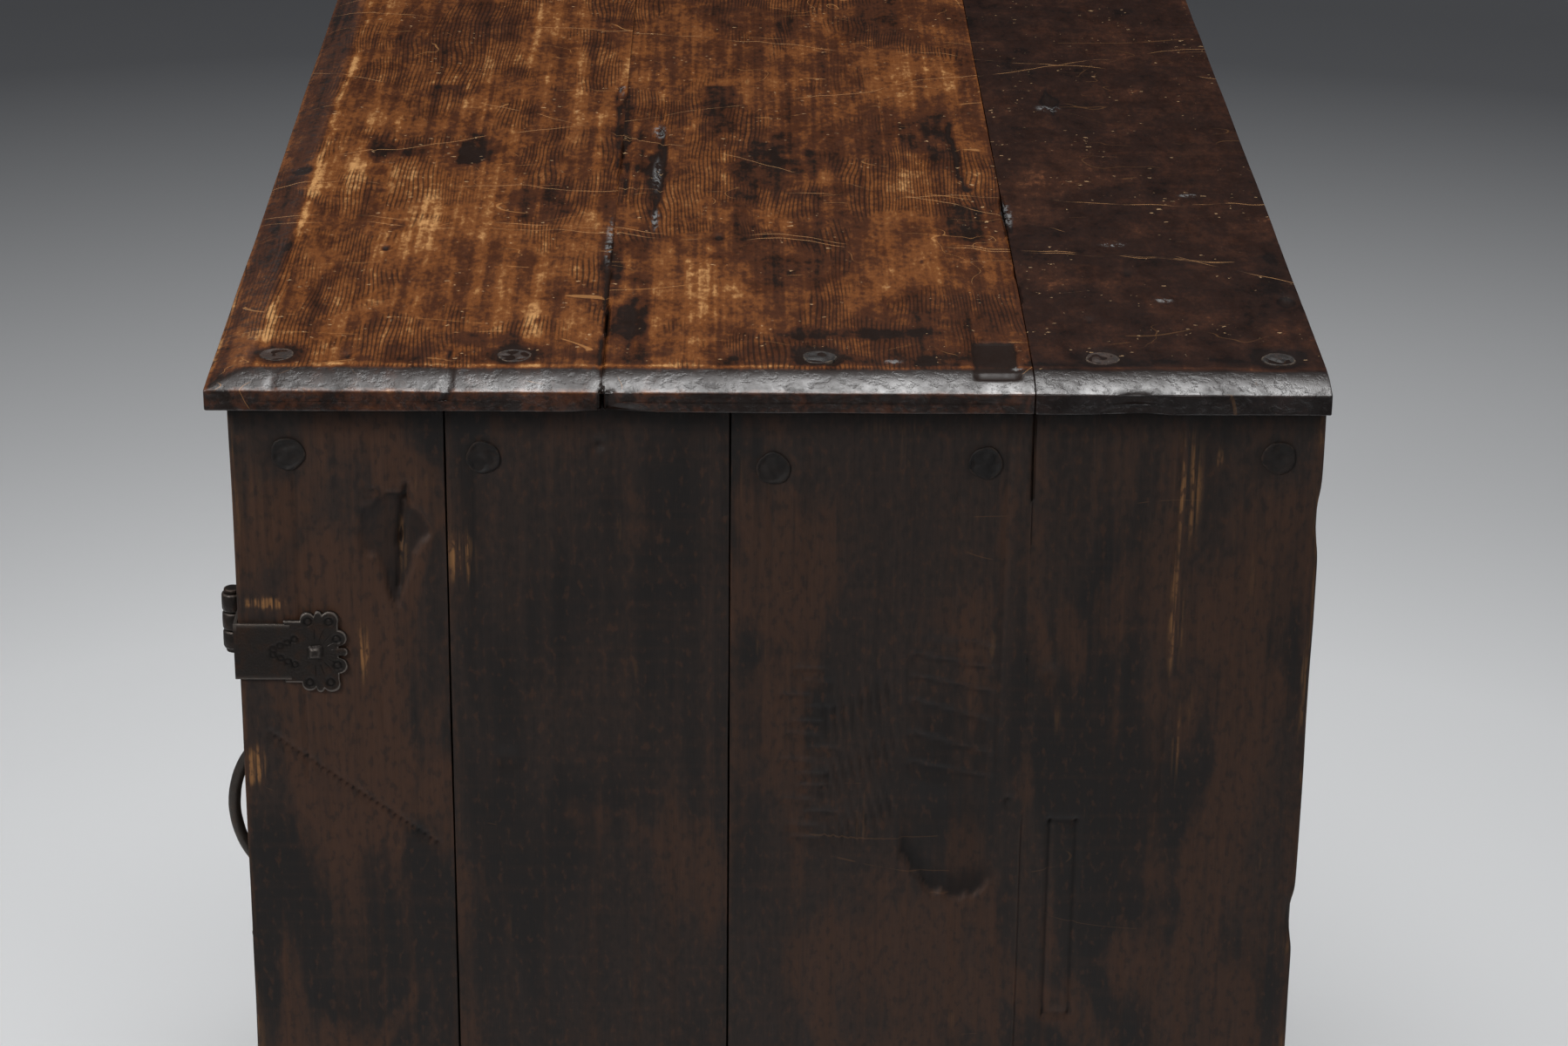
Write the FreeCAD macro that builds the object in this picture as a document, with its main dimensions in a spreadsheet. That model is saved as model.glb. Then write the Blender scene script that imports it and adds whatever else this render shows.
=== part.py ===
import FreeCAD, Part
import Sketcher
import math
import os
import re

# Driving sizes, in millimetres and degrees. Every piece below reads them from the document's sheet.
SIZES = {
    # Case: over the two ends, front to back, and from the floor to the underside of the top
    "case_length": 952,
    "case_depth": 531,
    "case_height": 854.5,
    # Top: overhangs, square edge, bevel and the widths of the first two boards
    "end_overhang": 14,
    "front_overhang": 9,
    "top_edge": 10.5,
    "bevel_rise": 5,
    "bevel_run": 20,
    "top_front_width": 190,
    "top_middle_width": 207.5,
    # End planks, counted from the front; the fourth takes the rest of the depth
    "plank_thick": 36,
    "plank_one_width": 104.5,
    "plank_two_width": 138,
    "plank_three_width": 147.3,
    "foot_shoulder": 35,
    "foot_arch_rise": 40,
    # Pegs through the planks: distance from the nearer edge of their own plank, and below the top
    "peg_diameter": 16.8,
    "peg_length": 70,
    "peg_sink": 1,
    "peg_one_inset": 28.4,
    "peg_one_drop": 27.9,
    "peg_two_inset": 18.3,
    "peg_two_drop": 29.3,
    "peg_three_inset": 21,
    "peg_three_drop": 34.4,
    "peg_four_inset": 23.1,
    "peg_four_drop": 31.1,
    "peg_five_inset": 22.1,
    "peg_five_drop": 27.7,
    "low_peg_inset": 40,
    # Plugs through the top boards into the ends of the planks
    "plug_diameter": 17,
    "plug_depth": 14,
    "plug_end_inset": 24,
    "plug_one_inset": 22.5,
    "plug_two_inset": 33,
    "plug_three_inset": 43,
    "plug_four_inset": 33.4,
    "plug_five_inset": 21.9,
    # Rails between the two ends
    "rail_thick": 44,
    "top_rail_height": 70,
    "rail_lip_thick": 27,
    "rail_lip_height": 25,
    "back_rail_height": 60,
    "bottom_rail_height": 85,
    "bottom_rail_base": 65,
    "apron_arch_width": 700,
    "apron_arch_rise": 24,
    # Cleats, floor, shelf and back
    "cleat_thick": 40,
    "cleat_height": 58,
    "shelf_cleat_thick": 24,
    "shelf_cleat_height": 34,
    "floor_thick": 22,
    "floor_front_width": 210,
    "shelf_thick": 20,
    "shelf_height": 470,
    "shelf_setback": 4,
    "back_thick": 18,
    "back_inset": 8,
    "back_drop": 18,
    "back_tongue": 8,
    "back_groove_spare": 2,
    # Doors
    "door_thick": 28,
    "hinge_gap": 2,
    "meeting_gap": 3,
    "door_gap": 2,
    "stop_gap": 1,
    "stile_width": 96,
    "door_top_rail": 62,
    "door_mid_rail": 54,
    "door_bottom_rail": 66,
    "tenon_length": 34,
    "tenon_thick": 10,
    "tenon_shoulder": 11,
    "tenon_spare": 0.5,
    "groove_depth": 9,
    "groove_spare": 1,
    "joint_peg_radius": 4.5,
    "joint_peg_proud": 1,
    # Carved panels: raised field with a sunk ground, compass rosette of cut petals, and corner cuts
    "field_rise": 3,
    "field_margin": 10,
    "petal_from_centre": 46,
    "petal_half_length": 41,
    "petal_half_width": 12.5,
    "petal_depth": 5,
    "border_width": 9,
    "ground_sink": 2,
    "corner_inset": 37,
    "corner_half_length": 16,
    "corner_half_width": 6.5,
    "corner_depth": 3,
    # Strap hinges
    "hinge_drop": 132.3,
    "strap_height": 30,
    "strap_thick": 1.8,
    "case_neck_reach": 25.8,
    "door_neck_reach": 34,
    "barrel_radius": 5.75,
    "barrel_clear": 0.75,
    "knuckle_gap": 0.5,
    "link_short": 1.5,
    "pin_radius": 2.5,
    "pin_clearance": 0.05,
    "pin_head_radius": 4.4,
    "pin_head_height": 2.2,
    "nail_thick": 3.2,
    "nail_length": 7,
    "nail_head": 8,
    "nail_head_top": 4.2,
    "nail_head_height": 2.4,
    # Pull on the right door
    "handle_radius": 69,
    "handle_bar": 8.2,
    "handle_drop": 436.6,
    "handle_edge_inset": 43.5,
    "tang_thick": 6,
    "tang_length": 22,
    # Lock: key, bolt, wooden stock, staple and escutcheon
    "key_gap": 22,
    "key_reach": 58,
    "key_half_turn": 41,
    "key_shank_radius": 3.4,
    "key_nose_radius": 2.4,
    "key_nose_length": 6,
    "key_nose_spare": 0.5,
    "key_nose_clearance": 0.05,
    "key_collar_radius": 5.2,
    "key_collar_length": 5,
    "bow_radius": 16,
    "bow_hole_radius": 10.5,
    "bow_thick": 5.2,
    "bit_radius": 12,
    "bit_thick": 4,
    "bit_width": 7,
    "bit_setback": 1,
    "bit_spare": 1,
    "keyhole_radius": 4.2,
    "keyhole_slot": 5.4,
    "bolt_lift": 9,
    "bolt_height": 12,
    "bolt_thick": 8,
    "bolt_length": 75.5,
    "bolt_clearance": 0.3,
    "notch_clearance": 1.6,
    "stock_inset": 3,
    "stock_wall": 13,
    "stock_back": 5,
    "staple_inset": 2.5,
    "staple_width": 6,
    "staple_bar": 4,
    "staple_clearance": 1.5,
    "staple_leg": 12,
    "escutcheon_radius": 17,
    "escutcheon_lobe": 7,
    "escutcheon_lobe_out": 2.3,
    "escutcheon_thick": 1.6,
    # Wooden button on the left door
    "button_thick": 11,
    "button_hub_radius": 13,
    "button_reach": 38,
    "button_tip_radius": 10,
    "button_drop": 25,
    "button_edge_inset": 46,
    "button_gap": 0.3,
    "spindle_radius": 6,
    "spindle_length": 20,
    "spindle_clearance": 0.05,
}

# Lobed end of a hinge strap: places along the strap from its neck, up from its middle, and radii,
# all counted in strap heights. Each lobe has its twin below the middle.
LOBES = ((0.30, 0.59, 0.12), (0.48, 0.68, 0.057), (0.67, 0.587, 0.143), (0.80, 0.253, 0.14))
TIP_LOBE = (0.877, 0.073)
LOBE_SIDES = 8
BARREL_SIDES = 12
PIN_HEAD_SIDES = 8
NECK_STEP = (0.19, 0.573)
CROWN = (0.68, 0.635)
CORE = (0.83, 0.45)
NAIL_ALONG = 0.41

# Places that several pieces share, as formulas in the sizes
HALF = "(case_length / 2)"
INSIDE = "(case_length / 2 - plank_thick)"
FRONT = "((handle_radius - case_depth) / 2)"
BACK = "((handle_radius + case_depth) / 2)"
BACK_BOARD = f"({BACK} - back_inset - back_thick)"
FLOOR_TOP = "(bottom_rail_base + bottom_rail_height)"
DOOR_BOTTOM = f"({FLOOR_TOP} + door_gap)"
DOOR_TOP = "(case_height - top_rail_height - door_gap)"
DOOR_MIDDLE = f"(({DOOR_BOTTOM} + {DOOR_TOP}) / 2)"
DOOR_OUTER = f"({INSIDE} - hinge_gap)"
DOOR_INNER = "(meeting_gap / 2)"
DOOR_REAR = f"({FRONT} + door_thick)"
OPENING_LEFT = f"({DOOR_INNER} + stile_width)"
OPENING_RIGHT = f"({DOOR_OUTER} - stile_width)"
OPENING_HEIGHT = (
    f"(({DOOR_TOP} - {DOOR_BOTTOM} - door_top_rail - door_mid_rail - door_bottom_rail) / 2)"
)
TENON_FRONT = f"({FRONT} + (door_thick - tenon_thick) / 2)"
HINGE_Y = f"({FRONT} - barrel_radius - barrel_clear)"
HINGE_Z = "(case_height - hinge_drop)"
STRAP_BASE = f"({HINGE_Z} - strap_height / 2)"
HANDLE_X = f"({DOOR_INNER} + handle_edge_inset)"
HANDLE_Z = "(case_height - handle_drop)"
KEY_Z = f"({HANDLE_Z} - handle_radius - key_gap)"
BOLT_THROW = "(2 * bit_radius * sin(key_half_turn * 1 deg))"
STOCK_X = f"({DOOR_INNER} + stock_inset)"
CHANNEL_DEPTH = "(bolt_thick + 2 * bolt_clearance)"
CHAMBER_DEPTH = "(bit_setback + bit_width + bit_spare)"

ALONG_X = FreeCAD.Rotation(FreeCAD.Vector(0, 1, 0), 90)
ALONG_Y = FreeCAD.Rotation(FreeCAD.Vector(1, 0, 0), -90)
ALONG_Z = FreeCAD.Rotation()

doc = FreeCAD.newDocument("carved_cupboard")
sheet = doc.addObject("Spreadsheet::Sheet", "Sizes")
for row, (alias, value) in enumerate(SIZES.items(), start=1):
    sheet.set(f"A{row}", alias)
    sheet.set(f"B{row}", str(value))
    sheet.setAlias(f"B{row}", alias)
doc.recompute()
nodes = []


def formula(text):
    """The text as an expression, with each size in it read from the sheet."""
    return re.sub("[a-z_]+", lambda word: f"Sizes.{word[0]}" if word[0] in SIZES else word[0], text)


def bind(item, formulas):
    """Tie each named property of an object to its formula."""
    for path, text in formulas.items():
        item.setExpression(path, formula(text))


def place(item, corner, turn=ALONG_Z):
    """Turn an object and tie its place to three formulas."""
    item.Placement = FreeCAD.Placement(FreeCAD.Vector(), turn)
    bind(item, {f"Placement.Base.{axis}": text for axis, text in zip("xyz", corner)})
    return item


def box(name, corner, size):
    """A block from its low corner and its three lengths."""
    item = doc.addObject("Part::Box", name)
    bind(item, dict(zip(("Length", "Width", "Height"), size)))
    return place(item, corner)


def rod(name, start, radius, length, along=ALONG_Z):
    """A round rod from the middle of its first end."""
    item = doc.addObject("Part::Cylinder", name)
    bind(item, {"Radius": radius, "Height": length})
    return place(item, start, along)


def peg(name, start, radius, length, sides, along=ALONG_Z):
    """A whittled or hammered peg with flat sides, or the hole that it fills."""
    item = doc.addObject("Part::Prism", name)
    item.Polygon = sides
    bind(item, {"Circumradius": radius, "Height": length})
    return place(item, start, along)


def ball(name, centre, radius):
    """A sphere about its centre."""
    item = doc.addObject("Part::Sphere", name)
    bind(item, {"Radius": radius})
    return place(item, centre)


def join(name, pieces):
    """One solid, or several, from pieces that meet."""
    item = doc.addObject("Part::MultiFuse", name)
    item.Shapes = pieces
    item.Refine = True
    return item


def group(name, pieces):
    """Separate solids kept together under one name."""
    item = doc.addObject("Part::Compound", name)
    item.Links = pieces
    return item


def cut(name, base, tools):
    """A piece with every tool taken out of it."""
    item = doc.addObject("Part::Cut", name)
    item.Base = base
    item.Tool = tools[0] if len(tools) == 1 else join(f"{name}_tools", tools)
    return item


def across(name, source):
    """The twin of a piece on the other side of the cupboard's middle."""
    item = doc.addObject("Part::Mirroring", name)
    item.Source = source
    item.Normal = FreeCAD.Vector(1, 0, 0)
    return item


def below(name, source, level):
    """The twin of a piece below a level."""
    item = doc.addObject("Part::Mirroring", name)
    item.Source = source
    item.Normal = FreeCAD.Vector(0, 0, 1)
    bind(item, {"Base.z": level})
    return item


def keep(item, label):
    """Label a finished piece; the label names its file."""
    item.Label = label
    nodes.append(item)
    return item


def plane(body, role):
    """One of a body's own origin planes or axes."""
    return next(feature for feature in body.Origin.OriginFeatures if feature.Role == role)


def outline(body, role, corners):
    """A closed outline of straight sides on a body's own plane, each corner tied to two formulas."""
    sketch = body.newObject("Sketcher::SketchObject", f"{body.Name}_outline")
    sketch.AttachmentSupport = (plane(body, role), [""])
    sketch.MapMode = "FlatFace"
    count = len(corners)
    start = []
    for number in range(count):
        angle = 2 * math.pi * number / count
        start.append(FreeCAD.Vector(math.cos(angle), math.sin(angle), 0))
    for number in range(count):
        sketch.addGeometry(Part.LineSegment(start[number], start[(number + 1) % count]))
    for number in range(count):
        sketch.addConstraint(Sketcher.Constraint("Coincident", number, 2, (number + 1) % count, 1))
    for number, (sideways, upwards) in enumerate(corners):
        for kind, value, text in (
            ("DistanceX", start[number].x, sideways),
            ("DistanceY", start[number].y, upwards),
        ):
            index = sketch.addConstraint(Sketcher.Constraint(kind, -1, 1, number, 1, value))
            sketch.setExpression(f"Constraints[{index}]", formula(text))
    return sketch


def pad(body, sketch, length, sides="One side", backwards=False):
    """Thicken an outline by a length."""
    feature = body.newObject("PartDesign::Pad", f"{body.Name}_pad")
    feature.Profile = sketch
    feature.SideType = sides
    feature.Reversed = backwards
    bind(feature, {"Length": length})
    return feature


# Pegs and plugs. Each peg goes in at the outer face of a plank, a little below it, and on into
# the rail or cleat behind; each plug goes down through a top board into a plank's end grain.
PLANK_EDGES = [
    FRONT,
    f"({FRONT} + plank_one_width)",
    f"({FRONT} + plank_one_width + plank_two_width)",
    f"({FRONT} + plank_one_width + plank_two_width + plank_three_width)",
    BACK,
]
LOW_PEG_Z = f"({FLOOR_TOP} - floor_thick - cleat_height / 2)"
PEG_SPOTS = [
    (f"{PLANK_EDGES[0]} + peg_one_inset", "case_height - peg_one_drop"),
    (f"{PLANK_EDGES[1]} + peg_two_inset", "case_height - peg_two_drop"),
    (f"{PLANK_EDGES[2]} + peg_three_inset", "case_height - peg_three_drop"),
    (f"{PLANK_EDGES[3]} - peg_four_inset", "case_height - peg_four_drop"),
    (f"{PLANK_EDGES[4]} - peg_five_inset", "case_height - peg_five_drop"),
    (f"{PLANK_EDGES[0]} + peg_one_inset", LOW_PEG_Z),
    (f"{PLANK_EDGES[1]} + peg_two_inset", LOW_PEG_Z),
    (f"{PLANK_EDGES[2]} + peg_three_inset", LOW_PEG_Z),
    (f"{PLANK_EDGES[3]} + low_peg_inset", LOW_PEG_Z),
]
PLUG_SPOTS = [
    f"{PLANK_EDGES[0]} + plug_one_inset",
    f"{PLANK_EDGES[1]} + plug_two_inset",
    f"{PLANK_EDGES[2]} + plug_three_inset",
    f"{PLANK_EDGES[3]} + plug_four_inset",
    f"{PLANK_EDGES[4]} - plug_five_inset",
]
PEG_SIDES = 12
PEG_END = f"({HALF} - peg_sink - peg_length)"
PLUG_X = f"({HALF} - plug_end_inset)"
right_pegs = []
right_peg_holes = []
for number, (peg_y, peg_z) in enumerate(PEG_SPOTS, start=1):
    start = (PEG_END, peg_y, peg_z)
    for name, length, bucket in (
        ("peg", "peg_length", right_pegs),
        ("peg_hole", "peg_length + peg_sink", right_peg_holes),
    ):
        bucket.append(peg(f"{name}_{number}", start, "peg_diameter / 2", length, PEG_SIDES, ALONG_X))
right_plugs = []
right_plug_holes = []
for number, plug_y in enumerate(PLUG_SPOTS, start=1):
    start = (PLUG_X, plug_y, "case_height - plug_depth")
    plug_length = "plug_depth + top_edge + bevel_rise"
    for name, bucket in (("plug", right_plugs), ("plug_hole", right_plug_holes)):
        bucket.append(peg(f"{name}_{number}", start, "plug_diameter / 2", plug_length, PEG_SIDES))
right_peg_group = group("right_peg_group", right_pegs)
right_plug_group = group("right_plug_group", right_plugs)
right_holes = group("right_holes", right_peg_holes)
left_holes = across("left_holes", right_holes)
right_bores = group("right_bores", right_plug_holes)
left_bores = across("left_bores", right_bores)
keep(group("case_pegs", [right_peg_group, across("left_peg_group", right_peg_group)]), "case_pegs")
keep(group("top_plugs", [right_plug_group, across("left_plug_group", right_plug_group)]), "top_plugs")

# Nails: a square shank under a forged head with four slopes.


def nail(name, x, y, z, sideways):
    """A nail whose head stands on a strap, driven in at the side or at the front, and its hole."""
    head = doc.addObject("Part::Wedge", f"{name}_head")
    for low, high, size in (("min", "max", "nail_head"), ("2min", "2max", "nail_head_top")):
        for axis in "XZ":
            bind(head, {f"{axis}{low}": f"-{size} / 2", f"{axis}{high}": f"{size} / 2"})
    head.Ymin = 0
    bind(head, {"Ymax": "nail_head_height"})
    outwards = -90 if sideways else 180
    place(head, (x, y, z), FreeCAD.Rotation(FreeCAD.Vector(0, 0, 1), outwards))
    driven = "(strap_thick + nail_length)"
    half = "nail_thick / 2"
    if sideways:
        corner = (f"{x} - {driven}", f"{y} - {half}", f"{z} - {half}")
        size = (driven, "nail_thick", "nail_thick")
    else:
        corner = (f"{x} - {half}", y, f"{z} - {half}")
        size = ("nail_thick", driven, "nail_thick")
    shank = box(f"{name}_shank", corner, size)
    hole = box(f"{name}_hole", corner, size)
    return join(name, [head, shank]), hole


# Strap hinges, made for the upper hinge of the right door. The case leaf wraps the front corner of
# the first plank and ends in lobes on its side; the door leaf ends in the same lobes on the stile.


def lobed_end(name, place_at, neck):
    """The lobed end of a strap; place_at gives a block or a disc a place on the right face."""
    step_length, step_up = [f"{share} * strap_height" for share in NECK_STEP]
    pieces = [place_at(f"{name}_neck", neck, step_length, step_up)]
    crown_start = f"{neck} + {step_length}"
    for part, (reach, up) in (("crown", CROWN), ("core", CORE)):
        length = f"{reach - NECK_STEP[0]:.3f} * strap_height"
        pieces.append(place_at(f"{name}_{part}", crown_start, length, f"{up} * strap_height"))
    for number, (along, up, radius) in enumerate(LOBES, start=1):
        for side, sign in (("upper", "+"), ("lower", "-")):
            centre = (f"{neck} + {along} * strap_height", f"{HINGE_Z} {sign} {up} * strap_height")
            pieces.append(place_at(f"{name}_{side}_{number}", *centre, radius=f"{radius} * strap_height"))
    along, radius = [f"{share} * strap_height" for share in TIP_LOBE]
    pieces.append(place_at(f"{name}_tip", f"{neck} + {along}", HINGE_Z, radius=radius))
    return pieces


def on_side(name, along, second, up=None, radius=None):
    """A block or a disc of strap iron on the outer face of the end, measured from the front."""
    if radius:
        start = (HALF, f"{FRONT} + {along}", second)
        return peg(name, start, radius, "strap_thick", LOBE_SIDES, ALONG_X)
    corner = (HALF, f"{FRONT} + {along}", f"{HINGE_Z} - {up}")
    return box(name, corner, ("strap_thick", second, f"2 * {up}"))


def on_door(name, along, second, up=None, radius=None):
    """A block or a disc of strap iron on the front of the door, measured from the hinge's axis."""
    if radius:
        start = (f"{DOOR_OUTER} - ({along})", f"{FRONT} - strap_thick", second)
        return peg(name, start, radius, "strap_thick", LOBE_SIDES, ALONG_Y)
    corner = (f"{DOOR_OUTER} - ({along}) - {second}", f"{FRONT} - strap_thick", f"{HINGE_Z} - {up}")
    return box(name, corner, (second, "strap_thick", f"2 * {up}"))


STRAP_FRONT = f"({FRONT} - strap_thick)"
NOTCH = "(barrel_radius + knuckle_gap)"
LINK = "(barrel_radius + knuckle_gap - link_short)"
THIRD = "(strap_height / 3 - knuckle_gap / 2)"
MIDDLE = "(strap_height / 3 - knuckle_gap)"
UPPER_THIRD = f"({HINGE_Z} + strap_height / 6 + knuckle_gap / 2)"
MIDDLE_BASE = f"({HINGE_Z} - strap_height / 6 + knuckle_gap / 2)"
pin_bore = rod(
    "pin_bore", (DOOR_OUTER, HINGE_Y, STRAP_BASE), "pin_radius + pin_clearance", "strap_height"
)
side_nail, side_nail_hole = nail(
    "side_nail",
    f"{HALF} + strap_thick",
    f"{FRONT} + case_neck_reach + {NAIL_ALONG} * strap_height",
    HINGE_Z,
    True,
)
edge_nail, edge_nail_hole = nail(
    "edge_nail", f"{HALF} - plank_thick / 2", STRAP_FRONT, HINGE_Z, False
)
case_leaf_pieces = [
    box("side_strap", (HALF, STRAP_FRONT, STRAP_BASE),
        ("strap_thick", "strap_thick + case_neck_reach", "strap_height")),
    box("edge_strap", (f"{DOOR_OUTER} + {NOTCH}", STRAP_FRONT, STRAP_BASE),
        (f"{HALF} - {DOOR_OUTER} - {NOTCH}", "strap_thick", "strap_height")),
]
for third, base in (("upper", UPPER_THIRD), ("lower", STRAP_BASE)):
    start = (DOOR_OUTER, HINGE_Y, base)
    case_leaf_pieces.append(peg(f"case_knuckle_{third}", start, "barrel_radius", THIRD, BARREL_SIDES))
    corner = (f"{DOOR_OUTER} + {NOTCH} - {LINK}", STRAP_FRONT, base)
    case_leaf_pieces.append(box(f"case_link_{third}", corner, (LINK, "strap_thick", THIRD)))
case_leaf_pieces += lobed_end("side_end", on_side, "case_neck_reach")
case_leaf = cut(
    "case_leaf", join("case_leaf_blank", case_leaf_pieces), [pin_bore, side_nail_hole, edge_nail_hole]
)
case_leaves = group("case_leaves", [case_leaf, below("low_case_leaf", case_leaf, DOOR_MIDDLE)])
keep(case_leaves, "right_case_leaves")
keep(across("left_case_leaves", case_leaves), "left_case_leaves")

end_nail, end_nail_hole = nail(
    "end_nail", f"{DOOR_OUTER} - door_neck_reach - {NAIL_ALONG} * strap_height", STRAP_FRONT, HINGE_Z, False
)
neck_nail, neck_nail_hole = nail(
    "neck_nail", f"{DOOR_OUTER} - door_neck_reach / 2", STRAP_FRONT, HINGE_Z, False
)
door_leaf_pieces = [
    box("door_strap", (f"{DOOR_OUTER} - door_neck_reach", STRAP_FRONT, STRAP_BASE),
        (f"door_neck_reach - {NOTCH}", "strap_thick", "strap_height")),
    box("door_link", (f"{DOOR_OUTER} - {NOTCH}", STRAP_FRONT, MIDDLE_BASE), (LINK, "strap_thick", MIDDLE)),
    peg("door_knuckle", (DOOR_OUTER, HINGE_Y, MIDDLE_BASE), "barrel_radius", MIDDLE, BARREL_SIDES),
]
door_leaf_pieces += lobed_end("door_end", on_door, "door_neck_reach")
door_leaf = cut(
    "door_leaf", join("door_leaf_blank", door_leaf_pieces), [pin_bore, end_nail_hole, neck_nail_hole]
)
door_leaves = group("door_leaves", [door_leaf, below("low_door_leaf", door_leaf, DOOR_MIDDLE)])
keep(door_leaves, "right_door_leaves")
keep(across("left_door_leaves", door_leaves), "left_door_leaves")

pin_pieces = [rod("pin_shank", (DOOR_OUTER, HINGE_Y, STRAP_BASE), "pin_radius", "strap_height")]
for name, base in (("top", f"{STRAP_BASE} + strap_height"), ("foot", f"{STRAP_BASE} - pin_head_height")):
    start = (DOOR_OUTER, HINGE_Y, base)
    pin_pieces.append(peg(f"pin_{name}", start, "pin_head_radius", "pin_head_height", PIN_HEAD_SIDES))
pin = join("pin", pin_pieces)
right_pins = group("right_pins", [pin, below("low_pin", pin, DOOR_MIDDLE)])
keep(group("hinge_pins", [right_pins, across("left_pins", right_pins)]), "hinge_pins")

case_nail_pair = group("case_nail_pair", [side_nail, edge_nail])
low_case_nails = below("low_case_nails", case_nail_pair, DOOR_MIDDLE)
right_case_nails = group("right_case_nails", [case_nail_pair, low_case_nails])
keep(group("case_nails", [right_case_nails, across("left_case_nails", right_case_nails)]), "case_nails")
case_nail_holes = group("case_nail_holes", [side_nail_hole, edge_nail_hole])
low_case_nail_holes = below("low_case_nail_holes", case_nail_holes, DOOR_MIDDLE)
door_nail_pair = group("door_nail_pair", [end_nail, neck_nail])
low_door_nails = below("low_door_nails", door_nail_pair, DOOR_MIDDLE)
door_hinge_nails = group("door_hinge_nails", [door_nail_pair, low_door_nails])
door_nail_holes = group("door_nail_holes", [end_nail_hole, neck_nail_hole])
low_door_nail_holes = below("low_door_nail_holes", door_nail_holes, DOOR_MIDDLE)

# Top: three boards edge to edge, bevelled at both ends; the first is bevelled along the front too.
TOP_HALF = "(case_length / 2 + end_overhang)"
TOP_THICK = "(top_edge + bevel_rise)"
TOP_FRONT = f"({FRONT} - front_overhang)"
TOP_BOARDS = (
    ("front", TOP_FRONT, "top_front_width"),
    ("middle", f"{TOP_FRONT} + top_front_width", "top_middle_width"),
    ("rear", f"{TOP_FRONT} + top_front_width + top_middle_width",
     f"{BACK} - {TOP_FRONT} - top_front_width - top_middle_width"),
)
for board, board_y, board_width in TOP_BOARDS:
    body = doc.addObject("PartDesign::Body", f"top_{board}")
    end_profile = outline(
        body,
        "XZ_Plane",
        [
            (f"-{TOP_HALF}", "0"),
            (TOP_HALF, "0"),
            (TOP_HALF, "top_edge"),
            (f"{TOP_HALF} - bevel_run", TOP_THICK),
            (f"bevel_run - {TOP_HALF}", TOP_THICK),
            (f"-{TOP_HALF}", "top_edge"),
        ],
    )
    pad(body, end_profile, board_width, backwards=True)
    if board == "front":
        bevel = outline(body, "YZ_Plane", [("0", "top_edge"), ("bevel_run", TOP_THICK), ("0", TOP_THICK)])
        front_bevel = body.newObject("PartDesign::Pocket", "front_bevel")
        front_bevel.Profile = bevel
        front_bevel.SideType = "Symmetric"
        front_bevel.Type = "ThroughAll"
    place(body, ("0", board_y, "case_height"))
    keep(cut(f"top_board_{board}", body, [right_bores, left_bores]), f"top_board_{board}")

# Ends: four upright planks. The first and the last reach the floor as feet; the two between them
# stop short and are cut to one low arch.
ARCH_SPAN = "(plank_two_width + plank_three_width)"
ARCH_RADIUS = f"({ARCH_SPAN} ^ 2 / (8 * foot_arch_rise) + foot_arch_rise / 2)"
foot_arch = rod(
    "foot_arch",
    (INSIDE, f"{PLANK_EDGES[1]} + {ARCH_SPAN} / 2", f"foot_shoulder + foot_arch_rise - {ARCH_RADIUS}"),
    ARCH_RADIUS,
    "plank_thick",
    ALONG_X,
)
PLANK_BASES = ("0", "foot_shoulder", "foot_shoulder", "0")
for number, base in enumerate(PLANK_BASES):
    low_edge = PLANK_EDGES[number]
    size = ("plank_thick", f"{PLANK_EDGES[number + 1]} - {low_edge}", f"case_height - {base}")
    plank = box(f"plank_{number + 1}", (INSIDE, low_edge, base), size)
    tools = [right_holes, right_bores]
    if base == "foot_shoulder":
        tools.append(foot_arch)
    if number == 0:
        tools += [case_nail_holes, low_case_nail_holes]
    plank = cut(f"right_plank_{number + 1}", plank, tools)
    keep(plank, f"right_side_plank_{number + 1}")
    keep(across(f"left_plank_{number + 1}", plank), f"left_side_plank_{number + 1}")

# Rails between the ends. The front top rail has a lip that the wooden button turns behind.
SPAN = f"(2 * {INSIDE})"
body = doc.addObject("PartDesign::Body", "front_rail")
rail_profile = outline(
    body,
    "YZ_Plane",
    [
        ("0", "0"),
        ("rail_lip_thick", "0"),
        ("rail_lip_thick", "rail_lip_height"),
        ("rail_thick", "rail_lip_height"),
        ("rail_thick", "top_rail_height"),
        ("0", "top_rail_height"),
    ],
)
pad(body, rail_profile, SPAN, sides="Symmetric")
place(body, ("0", FRONT, "case_height - top_rail_height"))
keep(cut("top_rail", body, [right_holes, left_holes]), "front_top_rail")

APRON_RADIUS = "(apron_arch_width ^ 2 / (8 * apron_arch_rise) + apron_arch_rise / 2)"
apron_arch = rod(
    "apron_arch",
    ("0", FRONT, f"bottom_rail_base + apron_arch_rise - {APRON_RADIUS}"),
    APRON_RADIUS,
    "rail_thick",
    ALONG_Y,
)
apron = box("apron", (f"-{INSIDE}", FRONT, "bottom_rail_base"), (SPAN, "rail_thick", "bottom_rail_height"))
keep(cut("bottom_rail", apron, [apron_arch, right_holes, left_holes]), "front_bottom_rail")

BACK_RAIL_BASE = "(case_height - back_rail_height)"
back_rail = box(
    "back_rail",
    (f"-{INSIDE}", f"{BACK} - rail_thick", BACK_RAIL_BASE),
    (SPAN, "rail_thick", "back_rail_height"),
)
back_groove = box(
    "back_groove",
    (f"-{INSIDE}", BACK_BOARD, BACK_RAIL_BASE),
    (SPAN, "back_thick", "back_tongue + back_groove_spare"),
)
keep(cut("top_back_rail", back_rail, [back_groove, right_holes, left_holes]), "back_top_rail")

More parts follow.
